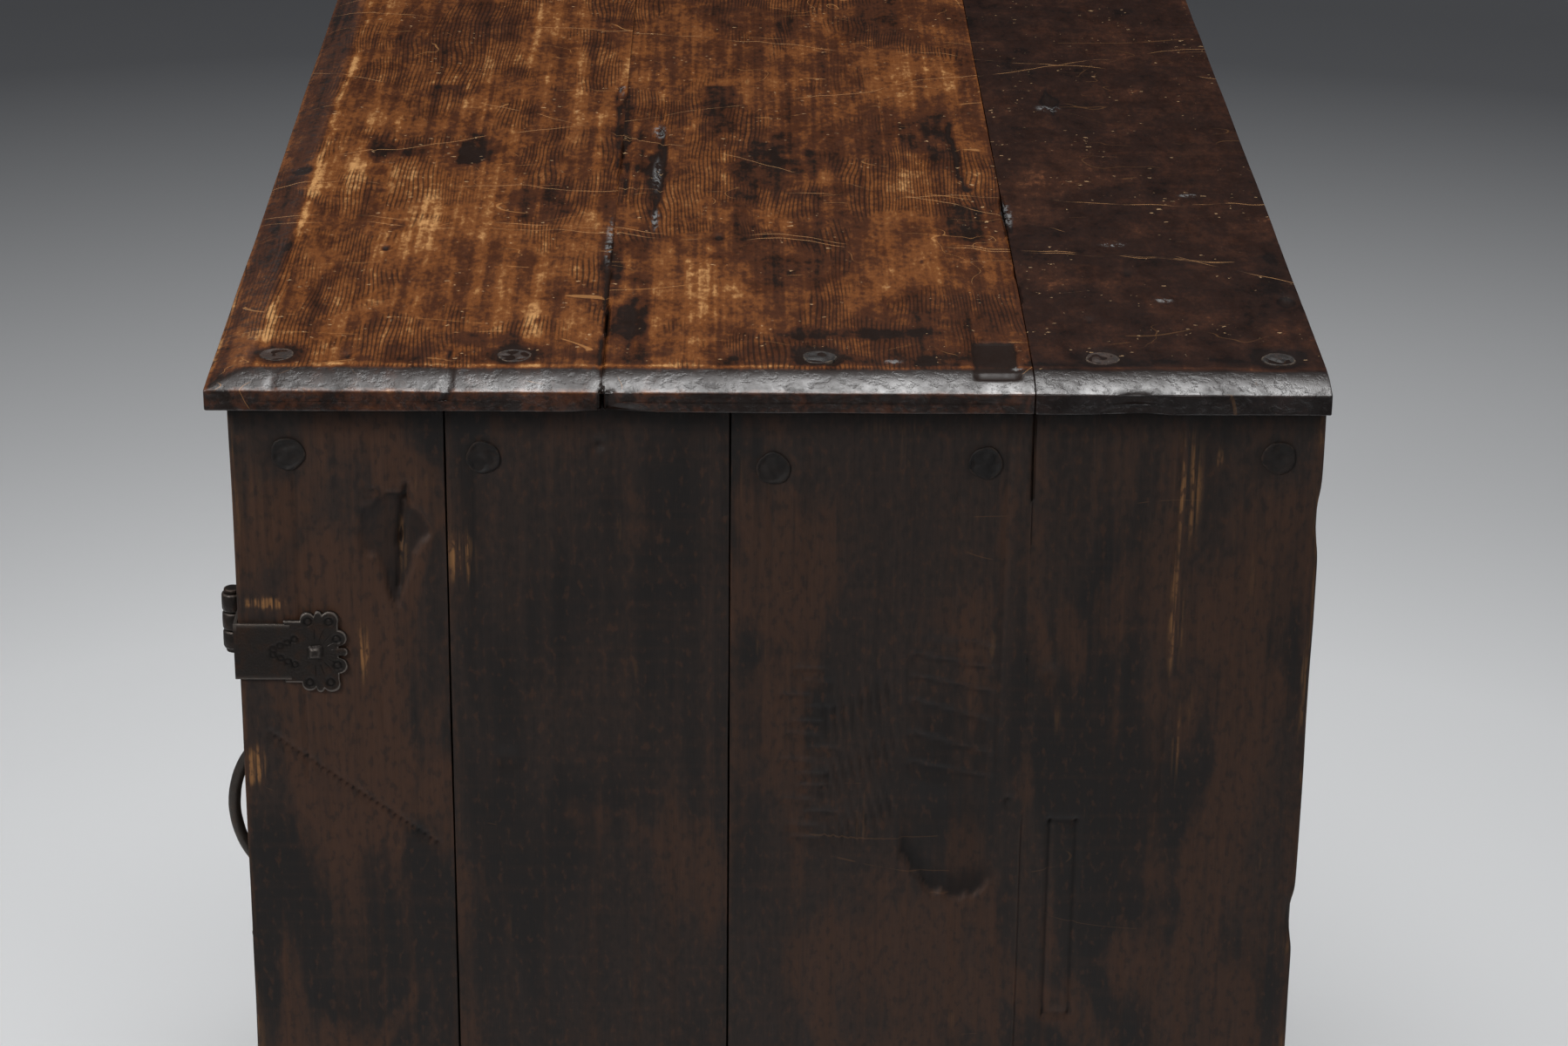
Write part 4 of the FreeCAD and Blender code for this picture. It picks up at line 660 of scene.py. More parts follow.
def top_marks(points):
    """Depth of the marks on the top: hollows round the plugs, splits along the boards, dents, the slit
    beside the inserted block at the near end, and bites out of the edge."""
    place = top_place(points)
    back, end = np.moveaxis(place, -1, 0)
    depth = sum(0.9 * spot(place, plug, PLUG_FROM_END, 12, 12) for plug in PLUGS)
    near = points[..., 0] > 0
    inserted = window(back, *BLOCK_SIDES, 1.5, 1.5) * window(end, *BLOCK_ENDS, 1.5, 1.5)
    detail = 0.9 * spot(place, 254, 36, 9, 9) + 0.5 * inserted + 1.8 * slit(place, *BLOCK_SLIT, 1.2)
    for line, start, stop, width, deep in TOP_SPLITS:
        wander = line + 1.4 * np.sin(end / 37 + line) + 0.7 * np.sin(end / 11)
        length = window(end, start - 12, stop + 20, 24, 40)
        detail = detail + deep * np.exp(-((back - wander) / width) ** 2) * length
    for first, second, reach, deep in TOP_DENTS:
        detail = detail + deep * spot(place, first, second, reach, 1.6 * reach)
    depth = depth + detail * near + 0.8 * fade(rough(points, 77, 30 * MM), 2.0, 3.0)
    bites = sum(deep * spot(place, *oval) for *oval, deep in EDGE_BITES)
    return (depth * (points[..., 2] > TOP_LOW.z + 8 * MM) + bites * near) * MM


# Growth rings of the top, and long scored lines on it: where each line meets the middle, in metres, and
# its slant.
RING_PITCH = 2.1 * MM
RING_WAVER = 24 * MM
SCORE_WAVER = 30 * MM
SCORE_HALF = 0.3 * MM
SCORES = ((0.270, 0.14), (0.2765, 0.12), (0.130, 0.70), (0.045, -0.45), (0.200, 0.06), (-0.10, 0.25))


def waxed_top(name, dark, brown, amber, gold, streaky, ringed, scratched):
    """Close-ringed walnut under worn wax: growth rings run along the board and waver, wax is rubbed
    to gold in patches and smeared across them, and dirt has stayed dark in others. The rings are drawn
    2.1 mm apart, coarser than the real 1.6 mm, so that they show. The eye gets a warm polish with fine
    scratches, pale nicks and chalky filler in the splits, and a pitted dark gloss on the bevels."""
    material, tree, shader = coat(name)
    field = fields(tree, 0, (
        ("fibres", 3, 150, 3, 0, 0.5), ("streaks", 9, 320, 4, 0.2, 0.5), ("drifts", 60, 110, 9, 0.5, 0.68),
        ("smears", 110, 26, 8, 0.6, 0.68), ("mottle", 18, 30, 9, 0.3, 0.7), ("grain", 3, 5, 6, 0, 0.7),
        ("lines", 240, 70, 1, 0, 0.5), ("hairs", 60, 45, 1.5, 0.5, 0.5), ("islands", 40, 30, 4, 0, 0.5),
        ("meadows", 50, 90, 4, 0, 0.5), ("waver", 50, 170, 2, 0, 0.5), ("shown", 60, 120, 3, 1, 0.5),
        ("pits", 5, 5, 4, 0, 0.6), ("flakes", 5, 3, 2, 0, 0.5)))
    across = add(tree, "SeparateXYZ", {0: field["moved"]}, "Y")
    across = add(tree, "Math", {0: field["waver"], 1: RING_WAVER, 2: across}, operation="MULTIPLY_ADD")
    turns = add(tree, "Math", {0: across, 1: 2 * np.pi / RING_PITCH}, operation="MULTIPLY")
    field["rings"] = add(tree, "Math", {0: turns}, operation="SINE")
    for kind, wide in (("lines", 0.0016), ("hairs", 0.0022)):
        field[kind] = add(tree, "Math", {0: field[kind], 1: 0.5, 2: wide}, operation="COMPARE")
    field["scores"] = 0
    for start, slope in SCORES:
        settings = {0: field["place"], 1: (1, -slope, 0)}
        slant = add(tree, "VectorMath", settings, "Value", operation="DOT_PRODUCT")
        slant = add(tree, "Math", {0: field["waver"], 1: SCORE_WAVER, 2: slant}, operation="MULTIPLY_ADD")
        settings = {0: slant, 1: start + SCORE_WAVER / 2, 2: SCORE_HALF}
        score = add(tree, "Math", settings, operation="COMPARE")
        field["scores"] = add(tree, "Math", {0: score, 1: field["scores"]}, operation="MAXIMUM")
    masked(tree, field, (
        ("lined", ringed, (("rings", -0.3, 0.9), ("shown", 0.46, 0.56), ("stain_and_shade", 0.6, 0.2))),
        ("scratch", scratched, (("lines", 0, 1), ("islands", 0.55, 0.60))),
        ("hair", scratched, (("hairs", 0, 1), ("meadows", 0.56, 0.62))),
        ("scored", 0.55, (("scores", 0, 1), ("islands", 0.42, 0.56))),
        ("nick", 0.7, (("flakes", 0.67, 0.72), ("islands", 0.50, 0.56), ("warm", 0.9, 0.2))),
        ("chalked", 0.55, (("warm", -0.1, -0.8), ("grain", 0.44, 0.58))),
        ("pitted", 1, (("pits", 0.46, 0.70), ("warm", 0.3, 0.8)))))
    # Mostly dirt drawn by noise. A little of the stain mark is added, which darkens the splits and dents as
    # painted shade, and a little of the wear mark is taken off, which lightens the outer arris partly as a
    # painted highlight.
    field["dirt_and_shade"] = summed(tree, field, 0, (
        ("streaks", 0.18 * streaky), ("fibres", 0.10 * streaky), ("drifts", 0.33 - 0.05 * streaky),
        ("smears", 0.23 - 0.15 * streaky), ("mottle", 0.26 - 0.08 * streaky), ("grain", 0.18),
        ("wear_and_highlight", -0.08), ("stain_and_shade", 0.14), ("tone", 0.03)))
    # The stain mark is laid on near black: real dirt and the dark bevels, and painted shade in the splits,
    # dents and the slit by the block.
    shade = tinted(tree, field, colour(gold), (
        ("dirt_and_shade", 0.40, 0.475, 1, amber), ("dirt_and_shade", 0.47, 0.54, 1, brown), ("dirt_and_shade", 0.54, 0.61, 1, dark),
        ("lined", 0, 1, 1, dark), ("stain_and_shade", 0.5, 1, 0.8, "#1a0f0a"), ("pitted", 0, 1, 0.6, "#120a07"),
        ("scratch", 0, 1, 0.8, "#a87848"), ("hair", 0, 1, 0.8, "#a87848"), ("scored", 0, 1, 0.9, "#b88a5c"),
        ("nick", 0, 1, 0.9, "#a58662"), ("chalked", 0, 1, 1, "#7f8080")))
    polish = add(tree, "MapRange", {0: field["mottle"], 1: 0.3, 2: 0.75, 3: 0.32, 4: 0.44})
    polish = summed(tree, field, polish, (("pitted", 0.08), ("warm", -0.05)))
    height = summed(tree, field, 0, (
        ("mottle", 0.2), ("grain", 0.2), ("lined", -0.2), ("scratch", -0.3), ("scored", -0.4), ("nick", -0.3),
        ("pitted", -0.45)))
    bump = add(tree, "Bump", {"Height": height, "Distance": 0.0005, "Strength": 0.6})
    shine = add(tree, "MapRange", {0: field["warm"], 1: 0, 2: 1, 3: 0.15, 4: 0.72})
    rubbed = add(tree, "MapRange", {0: field["mottle"], 1: 0.34, 2: 0.62, 3: 1.25, 4: 0.5})
    shine = add(tree, "Math", {0: shine, 1: rubbed}, operation="MULTIPLY")
    for socket, value in (("Base Color", shade), ("Roughness", polish), ("Normal", bump),
                          ("Specular IOR Level", shine)):
        tree.links.new(value, shader.inputs[socket])
    return material


# Dark clouds, gold patches and chalky filler on the top: the middle of each and its reach each way, in
# millimetres, and the strength of a cloud or patch.
TOP_CLOUDS = (
    (110, 363, 13, 34, 0.85), (59, 366, 18, 26, 0.6), (191, 165, 8, 60, 0.7), (200, 85, 11, 34, 0.75),
    (271, 338, 30, 60, 0.6), (299, 562, 42, 70, 0.6), (340, 620, 40, 60, 0.5), (210, 320, 6, 70, 0.75),
    (190, 420, 5, 90, 0.6), (150, 270, 20, 40, 0.5), (360, 400, 16, 60, 0.5), (310, 70, 44, 9, 0.6),
    (130, 60, 26, 12, 0.5), (80, 520, 16, 60, 0.45), (244, 480, 14, 90, 0.5), (378, 240, 14, 40, 0.5))
TOP_GOLD = (
    (38, 330, 17, 100, 0.8), (36, 172, 17, 80, 0.8), (97, 82, 10, 40, 1.0), (318, 137, 26, 26, 0.9),
    (275, 236, 22, 22, 0.8), (126, 635, 30, 60, 0.8), (55, 110, 22, 50, 0.7), (350, 150, 18, 40, 0.7),
    (80, 250, 20, 60, 0.6), (160, 75, 22, 26, 0.7))
TOP_CHALK = (
    (187, 494, 1.8, 30), (187.5, 207, 1.8, 40), (210, 526, 4, 9), (210.5, 401, 4, 13), (210.5, 321, 2.2, 30),
    (211, 246, 2.2, 20), (466, 541, 7, 4), (435, 450, 7, 7), (399, 256, 3, 22), (452, 207, 7, 3.5),
    (390, 22, 3, 5), (393, 545, 3, 30), (330, 31, 5, 3), (470, 120, 5, 3), (500, 290, 6, 3), (185, 12, 2, 12))


def top_stain_and_shade(points):
    """Dirt and painted light on the top: the bevels and square edges are dark, a dark band lies behind the end
    bevels, each plug has a dark halo, and some clouds lie where things stood. Splits, dents and the slit by
    the inserted block are black, partly as dirt and partly as painted shade in the hollows, and the outer
    arris of each bevel is left lighter, partly as wear and partly as a painted highlight."""
    place = top_place(points)
    back, end = np.moveaxis(place, -1, 0)
    run = place.min(-1)
    near = points[..., 0] > 0
    cloud = rough(points * np.array([1, 1, 0]), 71, 28 * MM)
    finer = rough(points * np.array([0.4, 1, 0]), 73, 12 * MM)
    # Painted highlight, with some wear: the dark is lifted along the outer arris of each bevel, for the line
    # of light along it.
    arris = np.exp(-((run - 0.6) / 1.2) ** 2) * (points[..., 2] > TOP_LOW.z + 9 * MM)
    front = fade(end - back, 0, 6)
    dark = (0.85 - 0.5 * front) * fade(-run, -23 - cloud + 5 * front, -18 + 4 * front) * (1 - 0.6 * arris)
    dark = np.where((run < 0.8) & (points[..., 2] < TOP_LOW.z + 9.8 * MM), 0.52, dark)
    dark = np.maximum(dark, 0.45 * window(end, 22, 58, 4, 28) * fade(cloud, -0.9, 0.9))
    for plug in PLUGS:
        gap = np.hypot(back - plug, end - PLUG_FROM_END)
        dark = np.maximum(dark, 0.75 * fade(-gap, -20 - 4 * cloud, -9))
    for *oval, strength in TOP_CLOUDS:
        share = spot(place, *oval) * near + 0.16 * cloud + 0.14 * finer
        dark = np.maximum(dark, strength * fade(share, 0.25, 0.85))
    # Partly dirt, partly painted shade: every mark deeper than half a millimetre darkens, to near black past
    # about a millimetre.
    dark = np.maximum(dark, fade(top_marks(points), 0.5 * MM, 1.1 * MM) * 0.92)
    # Painted shade: the slit beside the inserted block is black.
    dark = np.maximum(dark, slit(place, (371, 13), (389, 13), 2.5) * near)
    inserted = window(back, *BLOCK_SIDES, 1, 1) * window(end, *BLOCK_ENDS, 1, 1)
    return np.clip(np.maximum(dark, 0.85 * inserted * near), 0, 1)


def top_sheen(points):
    """Above 0 on the polished bevels; below 0 where chalky filler lies in the splits and nicks."""
    place = top_place(points)
    back, end = np.moveaxis(place, -1, 0)
    near = points[..., 0] > 0
    chalk = np.maximum.reduce([spot(place, *oval) for oval in TOP_CHALK])
    inserted = window(back, 366, 394, 3, 3) * fade(end, 8, 11) * near
    return fade(-place.min(-1), -22, -17) * (1 - inserted) - chalk * near * (end > 20)


def top_wear_and_highlight(points):
    """Rubbed places and a painted highlight: the inner edge of each bevel and gold patches on the boards are
    worn, and the outer arris is lighter, partly as wear and partly as a painted highlight of the line of light
    along it.
    """
    place = top_place(points)
    run = place.min(-1)
    near = points[..., 0] > 0
    ripple = 1.2 * rough(points * np.array([1, 1, 0]), 72, 40 * MM)
    cloud = rough(points * np.array([0.35, 1, 0]), 74, 12 * MM)
    worn = 0.9 * np.exp(-((run - 24 - ripple) / 2.0) ** 2)
    # Painted highlight, with some wear: a light line along the outer arris of each bevel.
    worn = worn + 0.3 * np.exp(-((run - 0.6) / 1.3) ** 2) * (points[..., 2] > TOP_LOW.z + 8.5 * MM)
    for *oval, strength in TOP_GOLD:
        share = spot(place, *oval) * near + 0.2 * cloud
        worn = np.maximum(worn, 0.55 * strength * fade(share, 0.2, 0.9))
    return np.clip(worn, 0, 1)


top_gold = waxed_top("worn waxed walnut", "#150a05", "#391d0d", "#603718", "#a2774a", 1.0, 0.65, 0.5)
top_red = waxed_top("dark waxed walnut", "#0f0705", "#1e0f09", "#2d180e", "#57341f", 0.3, 0.1, 0.22)
# For each board: its material and tone, how far its front and back edges are moved into the seams, and
# the radius of its back and front arrises, in millimetres.
TOP_BOARDS = (
    ("front", top_gold, 0.13, 0, 0.15, 0.15, 0.9), ("middle", top_gold, 0.52, 0.15, -0.1, 0.3, 0.15),
    ("rear", top_red, 0.83, -0.1, 0, 0.9, 0.3))
for number, (name, material, tone, front_room, back_room, back_arris, front_arris) in enumerate(TOP_BOARDS):
    node = f"top_board_{name}"
    low, high = box_of(node)
    low[1] -= front_room * MM
    high[1] += back_room * MM
    arrises = np.array([0.9, 0.9, back_arris, front_arris]) * MM
    points, given = board(low, high, 0, [14 * MM, 3 * MM, 1.9 * MM, 3 * MM], 210 + number, arrises, 0.9 * MM,
                          0.35 * MM, 0.8 * MM, top_marks, bevelled, 2.6 * MM)
    given = {"stain_and_shade": top_stain_and_shade(points), "wear_and_highlight": top_wear_and_highlight(points), "warm": top_sheen(points), "tone": tone}
    surface(f"top_{name}", [(points, given)], "case", material, "waxed_walnut_top", node)


# Pegs and plugs: riven hardwood pins, driven tight and trimmed by knife, so that each end is a rough
# disc a little below or level with the wood round it.
def full_turn(count):
    """Angles of a full turn in equal steps."""
    return np.linspace(0, 2 * np.pi, count, endpoint=False)


def turned(centre, first, second, angles, reach, lift):
    """Rings of points about an axis: the reach of each ring or point, at angles from a first direction
    to a second, and its lift along the third."""
    around = np.outer(np.cos(angles), first) + np.outer(np.sin(angles), second)
    return np.array(centre) + reach[..., None] * around + lift[..., None] * np.cross(first, second)


def pin_end(centre, axis, radius, length, seed, dome):
    """A whittled pin: rings from the middle of its outer end over a rough dome, then down its side."""
    angles = full_turn(40)
    wobble = 1 + 0.03 * np.sin(3 * angles + seed) + 0.02 * np.sin(5 * angles + 2 * seed)
    shares = np.concatenate([np.linspace(0.02, 0.92, 9), [0.97, 1.0, 1.0]])
    drop = np.concatenate([np.zeros(9), [0.15 * MM, 0.5 * MM, length]])
    reach = radius * shares[:, None] * wobble
    straight, first, second = [np.roll(np.eye(3)[axis], move) for move in (0, 1, 2)]
    flat = turned((0, 0, 0), first, second, angles, reach, 0 * reach)
    hollow = dome * (1.2 + rough(flat + seed, seed, 9 * MM)) * fade(-shares, -0.97, -0.72)[:, None]
    inward = -np.sign(np.dot(centre, straight)) * straight
    sunk = drop[:, None] + np.clip(hollow, 0.0, 1.6 * MM)
    rim = (shares > 0.9)[:, None]
    return np.array(centre) + flat + inward * sunk[..., None], {"wear_and_highlight": 0.6 * rim, "stain_and_shade": 0.15 * rim}


PEG_FINISH = {"toned": 0.3, "scuffed": 0.2, "bands": 0.3, "shine": 0.3}
peg_wood_x = wood("peg end grain sideways", 0, "#0c0908", "#15100d", "#1f1612", "#4a3626", 0.6, **PEG_FINISH)
peg_wood_z = wood("plug end grain upright", 2, "#100a07", "#1c110b", "#2b1a10", "#84705c", 0.5, **PEG_FINISH)
PEG_RADIUS = 8.3 * MM
PEG_LENGTH = 60 * MM
PLUG_RADIUS = 8.4 * MM
PLUG_LENGTH = 25 * MM
PIN_SUNK = 0.4 * MM
pegs = []
plugs = []
for turn in (1, -1):
    for number, (back, below) in enumerate(PEGS):
        centre = (turn * (END_FACE - PIN_SUNK), FRONT + back * MM, CASE_TOP - below * MM)
        points, given = pin_end(centre, 0, PEG_RADIUS, PEG_LENGTH, number + 20 * (turn > 0), 0.7 * MM)
        given["tone"] = (number * 0.31) % 1
        pegs.append((points, given))
    for number, back in enumerate(PLUGS):
        centre = (turn * (TOP_HIGH.x - PLUG_FROM_END * MM), TOP_LOW.y + back * MM, TOP_HIGH.z - PIN_SUNK)
        points, given = pin_end(centre, 2, PLUG_RADIUS, PLUG_LENGTH, 50 + number + 20 * (turn > 0), 0.4 * MM)
        given["tone"] = (number * 0.41) % 1
        plugs.append((points, given))
surface("end_pegs", pegs, "case", peg_wood_x, "peg_wood", "case_pegs")
surface("top_pins", plugs, "case", peg_wood_z, "peg_wood", "top_plugs")

# Strap hinges: iron cut from plate, with a lobed end that is punched with rings, a strap, and knuckles
# rolled round a pin. Nails with square forged heads hold them to the planks and the stiles.

# Forged iron has hammer marks a few millimetres wide and fine scale over them. The eye gets a dull dark
# gleam, with rust in the hollows, brighter rims where it is rubbed, and black in the punched marks.
iron, iron_tree, iron_shader = coat("forged iron")
iron_place = add(iron_tree, "TexCoord", out="Object")
hammered = add(iron_tree, "TexNoise", {"Vector": iron_place, "Scale": 160, "Detail": 3})
scaled = add(iron_tree, "TexNoise", {"Vector": iron_place, "Scale": 900, "Detail": 5})
rust = add(iron_tree, "MapRange", {0: hammered, 1: 0.5, 2: 0.7, 3: 0, 4: 0.7})
bright = add(iron_tree, "Attribute", out="Fac", attribute_name="wear_and_highlight")
dirty = add(iron_tree, "Attribute", out="Fac", attribute_name="stain_and_shade")
iron_shade = colour("#2c2724")
for share, tint in ((rust, "#3b2a20"), (bright, "#8b827a"), (dirty, "#0b0908")):
    iron_shade = add(iron_tree, "Mix", {0: share, 6: iron_shade, 7: colour(tint)}, 2, data_type="RGBA")
iron_polish = add(iron_tree, "MapRange", {0: scaled, 1: 0.3, 2: 0.7, 3: 0.34, 4: 0.58})
iron_height = add(iron_tree, "Math", {0: hammered, 1: scaled}, operation="ADD")
iron_bump = add(iron_tree, "Bump", {"Height": iron_height, "Distance": 0.0005, "Strength": 0.6})
iron_shader.inputs["Metallic"].default_value = 0.75
for socket, value in (("Base Color", iron_shade), ("Roughness", iron_polish), ("Normal", iron_bump)):
    iron_tree.links.new(value, iron_shader.inputs[socket])

# The lobes are in strap widths: along the strap from its neck, up from its middle, and the radius.
STILE_LOW, STILE_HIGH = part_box("right_hinge_stile")
HINGE_X = STILE_HIGH.x
HINGE_Y = FRONT - 6.5 * MM
HINGE_DROP = 132.3 * MM
HINGE_LEVELS = (CASE_TOP - HINGE_DROP, STILE_LOW.z + STILE_HIGH.z - CASE_TOP + HINGE_DROP)
STRAP = 30 * MM
STRAP_THICK = 1.8 * MM
BARREL = 5.7 * MM
LOBES = ((0.30, 0.59, 0.12), (0.48, 0.68, 0.057), (0.67, 0.587, 0.143), (0.80, 0.253, 0.14),
         (0.877, 0.0, 0.073))
SHELL_MIDDLE = 0.41
SHELL_CORE = 0.30
SHELL_HALF = 0.64
NECK_HALF = 0.56
NECK_PLACE = 27.7 * MM
PUNCH_DEPTH = 0.5 * MM


def bulged(rim, ray, centre, radius):
    """A rim pushed out to a circle: along each ray from the middle, to the circle's farther side."""
    reach = ray @ np.array(centre)
    inside = radius ** 2 - np.dot(centre, centre) + reach ** 2
    farther = reach + np.sqrt(np.maximum(inside, 0))
    return np.where((inside > 0) & (reach > 0), np.maximum(rim, farther), rim)


def to_edge(distance, towards):
    """How far a ray runs to a straight edge: the edge's distance over the ray's share towards it."""
    return distance / np.maximum(towards, 1e-6)


def strap_marks(along, up):
    """Share of the depth of the punched rings on a strap: two rows of four, which part from a point
    towards the shell."""
    depth = np.zeros(along.shape)
    for row in range(4):
        for sign in (1, -1):
            gap = np.hypot(along / STRAP - 0.64 - 0.12 * row, up / STRAP - sign * (0.05 + 0.06 * row))
            depth = np.maximum(depth, np.exp(-((gap - 0.05) / 0.025) ** 2))
    return depth


def shell(neck):
    """The lobed end of a strap, flat: rings of points about the nail. Its rim is the farthest of the
    lobes' circles and of a plain core along each ray, and its face has a rounded edge, a punched ring in
    each large lobe, rays from the nail and the last of the strap's rings. It gives places along and up
    from the neck, and heights from the wood."""
    angles = full_turn(240)
    ray = np.stack([np.cos(angles), np.sin(angles)], axis=-1)
    sideways = np.abs(ray[:, 1])
    centres = [((along - SHELL_MIDDLE, sign * up), radius) for along, up, radius in LOBES for sign in (1, -1)]
    rim = np.full(len(angles), SHELL_CORE)
    for centre, radius in centres:
        rim = bulged(rim, ray, centre, radius)
    ends = to_edge(np.where(ray[:, 0] > 0, 0.39, 0.22), np.abs(ray[:, 0]))
    rim = np.maximum(rim, np.minimum(to_edge(SHELL_HALF, sideways), ends))
    back = ray[:, 0] < 0
    to_neck = np.where(back, to_edge(SHELL_MIDDLE + 0.1, -ray[:, 0]), 9.0)
    neck_rim = np.minimum(to_neck, np.maximum(rim, to_edge(NECK_HALF, sideways)))
    rim = np.where(back, neck_rim, rim) * STRAP
    shares = np.concatenate([np.linspace(0.03, 0.93, 30), [0.965, 0.99, 1.0, 1.0, 0.5, 0.05]])
    flat = (rim * shares[:, None])[..., None] * ray
    lift = np.concatenate([np.ones(30), [0.97, 0.85, 0.6, 0.0, 0.0, 0.0]])[:, None] * 0.94 * STRAP_THICK
    cut = strap_marks(flat[..., 0] + SHELL_MIDDLE * STRAP + NECK_PLACE, flat[..., 1])
    for centre, radius in centres:
        if radius > 0.1:
            gap = np.linalg.norm(flat / STRAP - 0.93 * np.array(centre), axis=-1)
            cut = np.maximum(cut, np.exp(-((gap - 0.062) / 0.024) ** 2))
    spread = np.abs((np.arctan2(flat[..., 1], flat[..., 0]) * 9 / np.pi) % 1 - 0.5)
    distance = np.linalg.norm(flat, axis=-1) / STRAP
    rays = np.exp(-(spread * distance / 0.02) ** 2) * window(distance, 0.2, 0.46, 0.06, 0.06)
    rays = rays * (flat[..., 0] > -0.05 * STRAP)
    on_face = (np.arange(len(shares)) < 32)[:, None]
    cut = np.clip(cut + 0.8 * rays, 0, 1) * on_face
    at_neck = back & (np.abs(ray[:, 1] * to_neck) < 0.55)
    worn = 0.55 * np.exp(-((shares - 0.97) / 0.02) ** 2)[:, None] * ~at_neck
    along = flat[..., 0] + neck + SHELL_MIDDLE * STRAP
    return along, flat[..., 1], lift - 1.1 * PUNCH_DEPTH * cut, {"stain_and_shade": 0.8 * cut, "wear_and_highlight": worn}


def plate(origin, along, out, length, height, seed, punched=False):
    """A piece of strap iron: a thin rounded board laid upright on the wood along one direction."""
    fine = 0.7 * MM
    steps = [4 * MM, 3 * MM, fine if punched else 4 * MM, 3 * MM]
    low, high = (0, -height / 2, 0), (length, height / 2, STRAP_THICK)
    points, given = board(low, high, 0, steps, seed, 0.5 * MM, 0.15 * MM, 0.10 * MM, 0.3 * MM,
                          step=fine if punched else 3 * MM, reach=0.6 * MM)
    face = points[..., 2] > STRAP_THICK - 0.4 * MM
    cut = strap_marks(points[..., 0], points[..., 1]) * face * punched
    points[..., 2] -= PUNCH_DEPTH * cut
    basis = np.array([along, (0, 0, 1), out])
    return np.array(origin) + points @ basis, {"wear_and_highlight": 0.35 * given["edge"], "stain_and_shade": 0.7 * cut}


def barrel(x, low, high, radius, bulge=0.15 * MM):
    """A rolled knuckle: a closed turned form about the hinge's axis with softened rims."""
    rims = np.array([0.3, 0.75, 0.93, 1.0, 1.0, 1.0, 0.93, 0.75, 0.3])
    shares = np.array([0.0, 0.0, 0.03, 0.12, 0.5, 0.88, 0.97, 1.0, 1.0])
    reach = (radius - bulge + bulge * np.sin(np.pi * shares)) * rims
    lift = low + (high - low) * shares
    points = turned((x, HINGE_Y, 0), (1, 0, 0), (0, 1, 0), full_turn(28), reach[:, None], lift[:, None])
    return points, {"wear_and_highlight": 0.16 * ((rims < 1) & (rims > 0.8))[:, None]}


def nail_head(centre, out, seed, half=4.0 * MM, height=2.3 * MM):
    """A forged nail head: a square with four hammered slopes, as rings from its top to the plate."""
    angles = full_turn(32) + 0.1 * np.sin(seed)
    square = 1 / np.maximum(np.abs(np.cos(angles)), np.abs(np.sin(angles)))
    shares = np.array([0.05, 0.35, 0.52, 0.75, 0.95, 1.0, 1.0])
    rises = np.array([1.0, 0.97, 0.88, 0.5, 0.16, 0.08, -0.4])
    side = np.cross((0, 0, 1), out)
    reach = half * shares[:, None] * np.minimum(square, 1.25) / 1.05 * (1 + 0.05 * np.sin(2 * angles + seed))
    points = turned(centre, side, np.cross(out, side), angles, reach, (height * rises)[:, None])
    return points, {"wear_and_highlight": 0.22 * np.exp(-((shares - 0.5) / 0.12) ** 2)[:, None]}


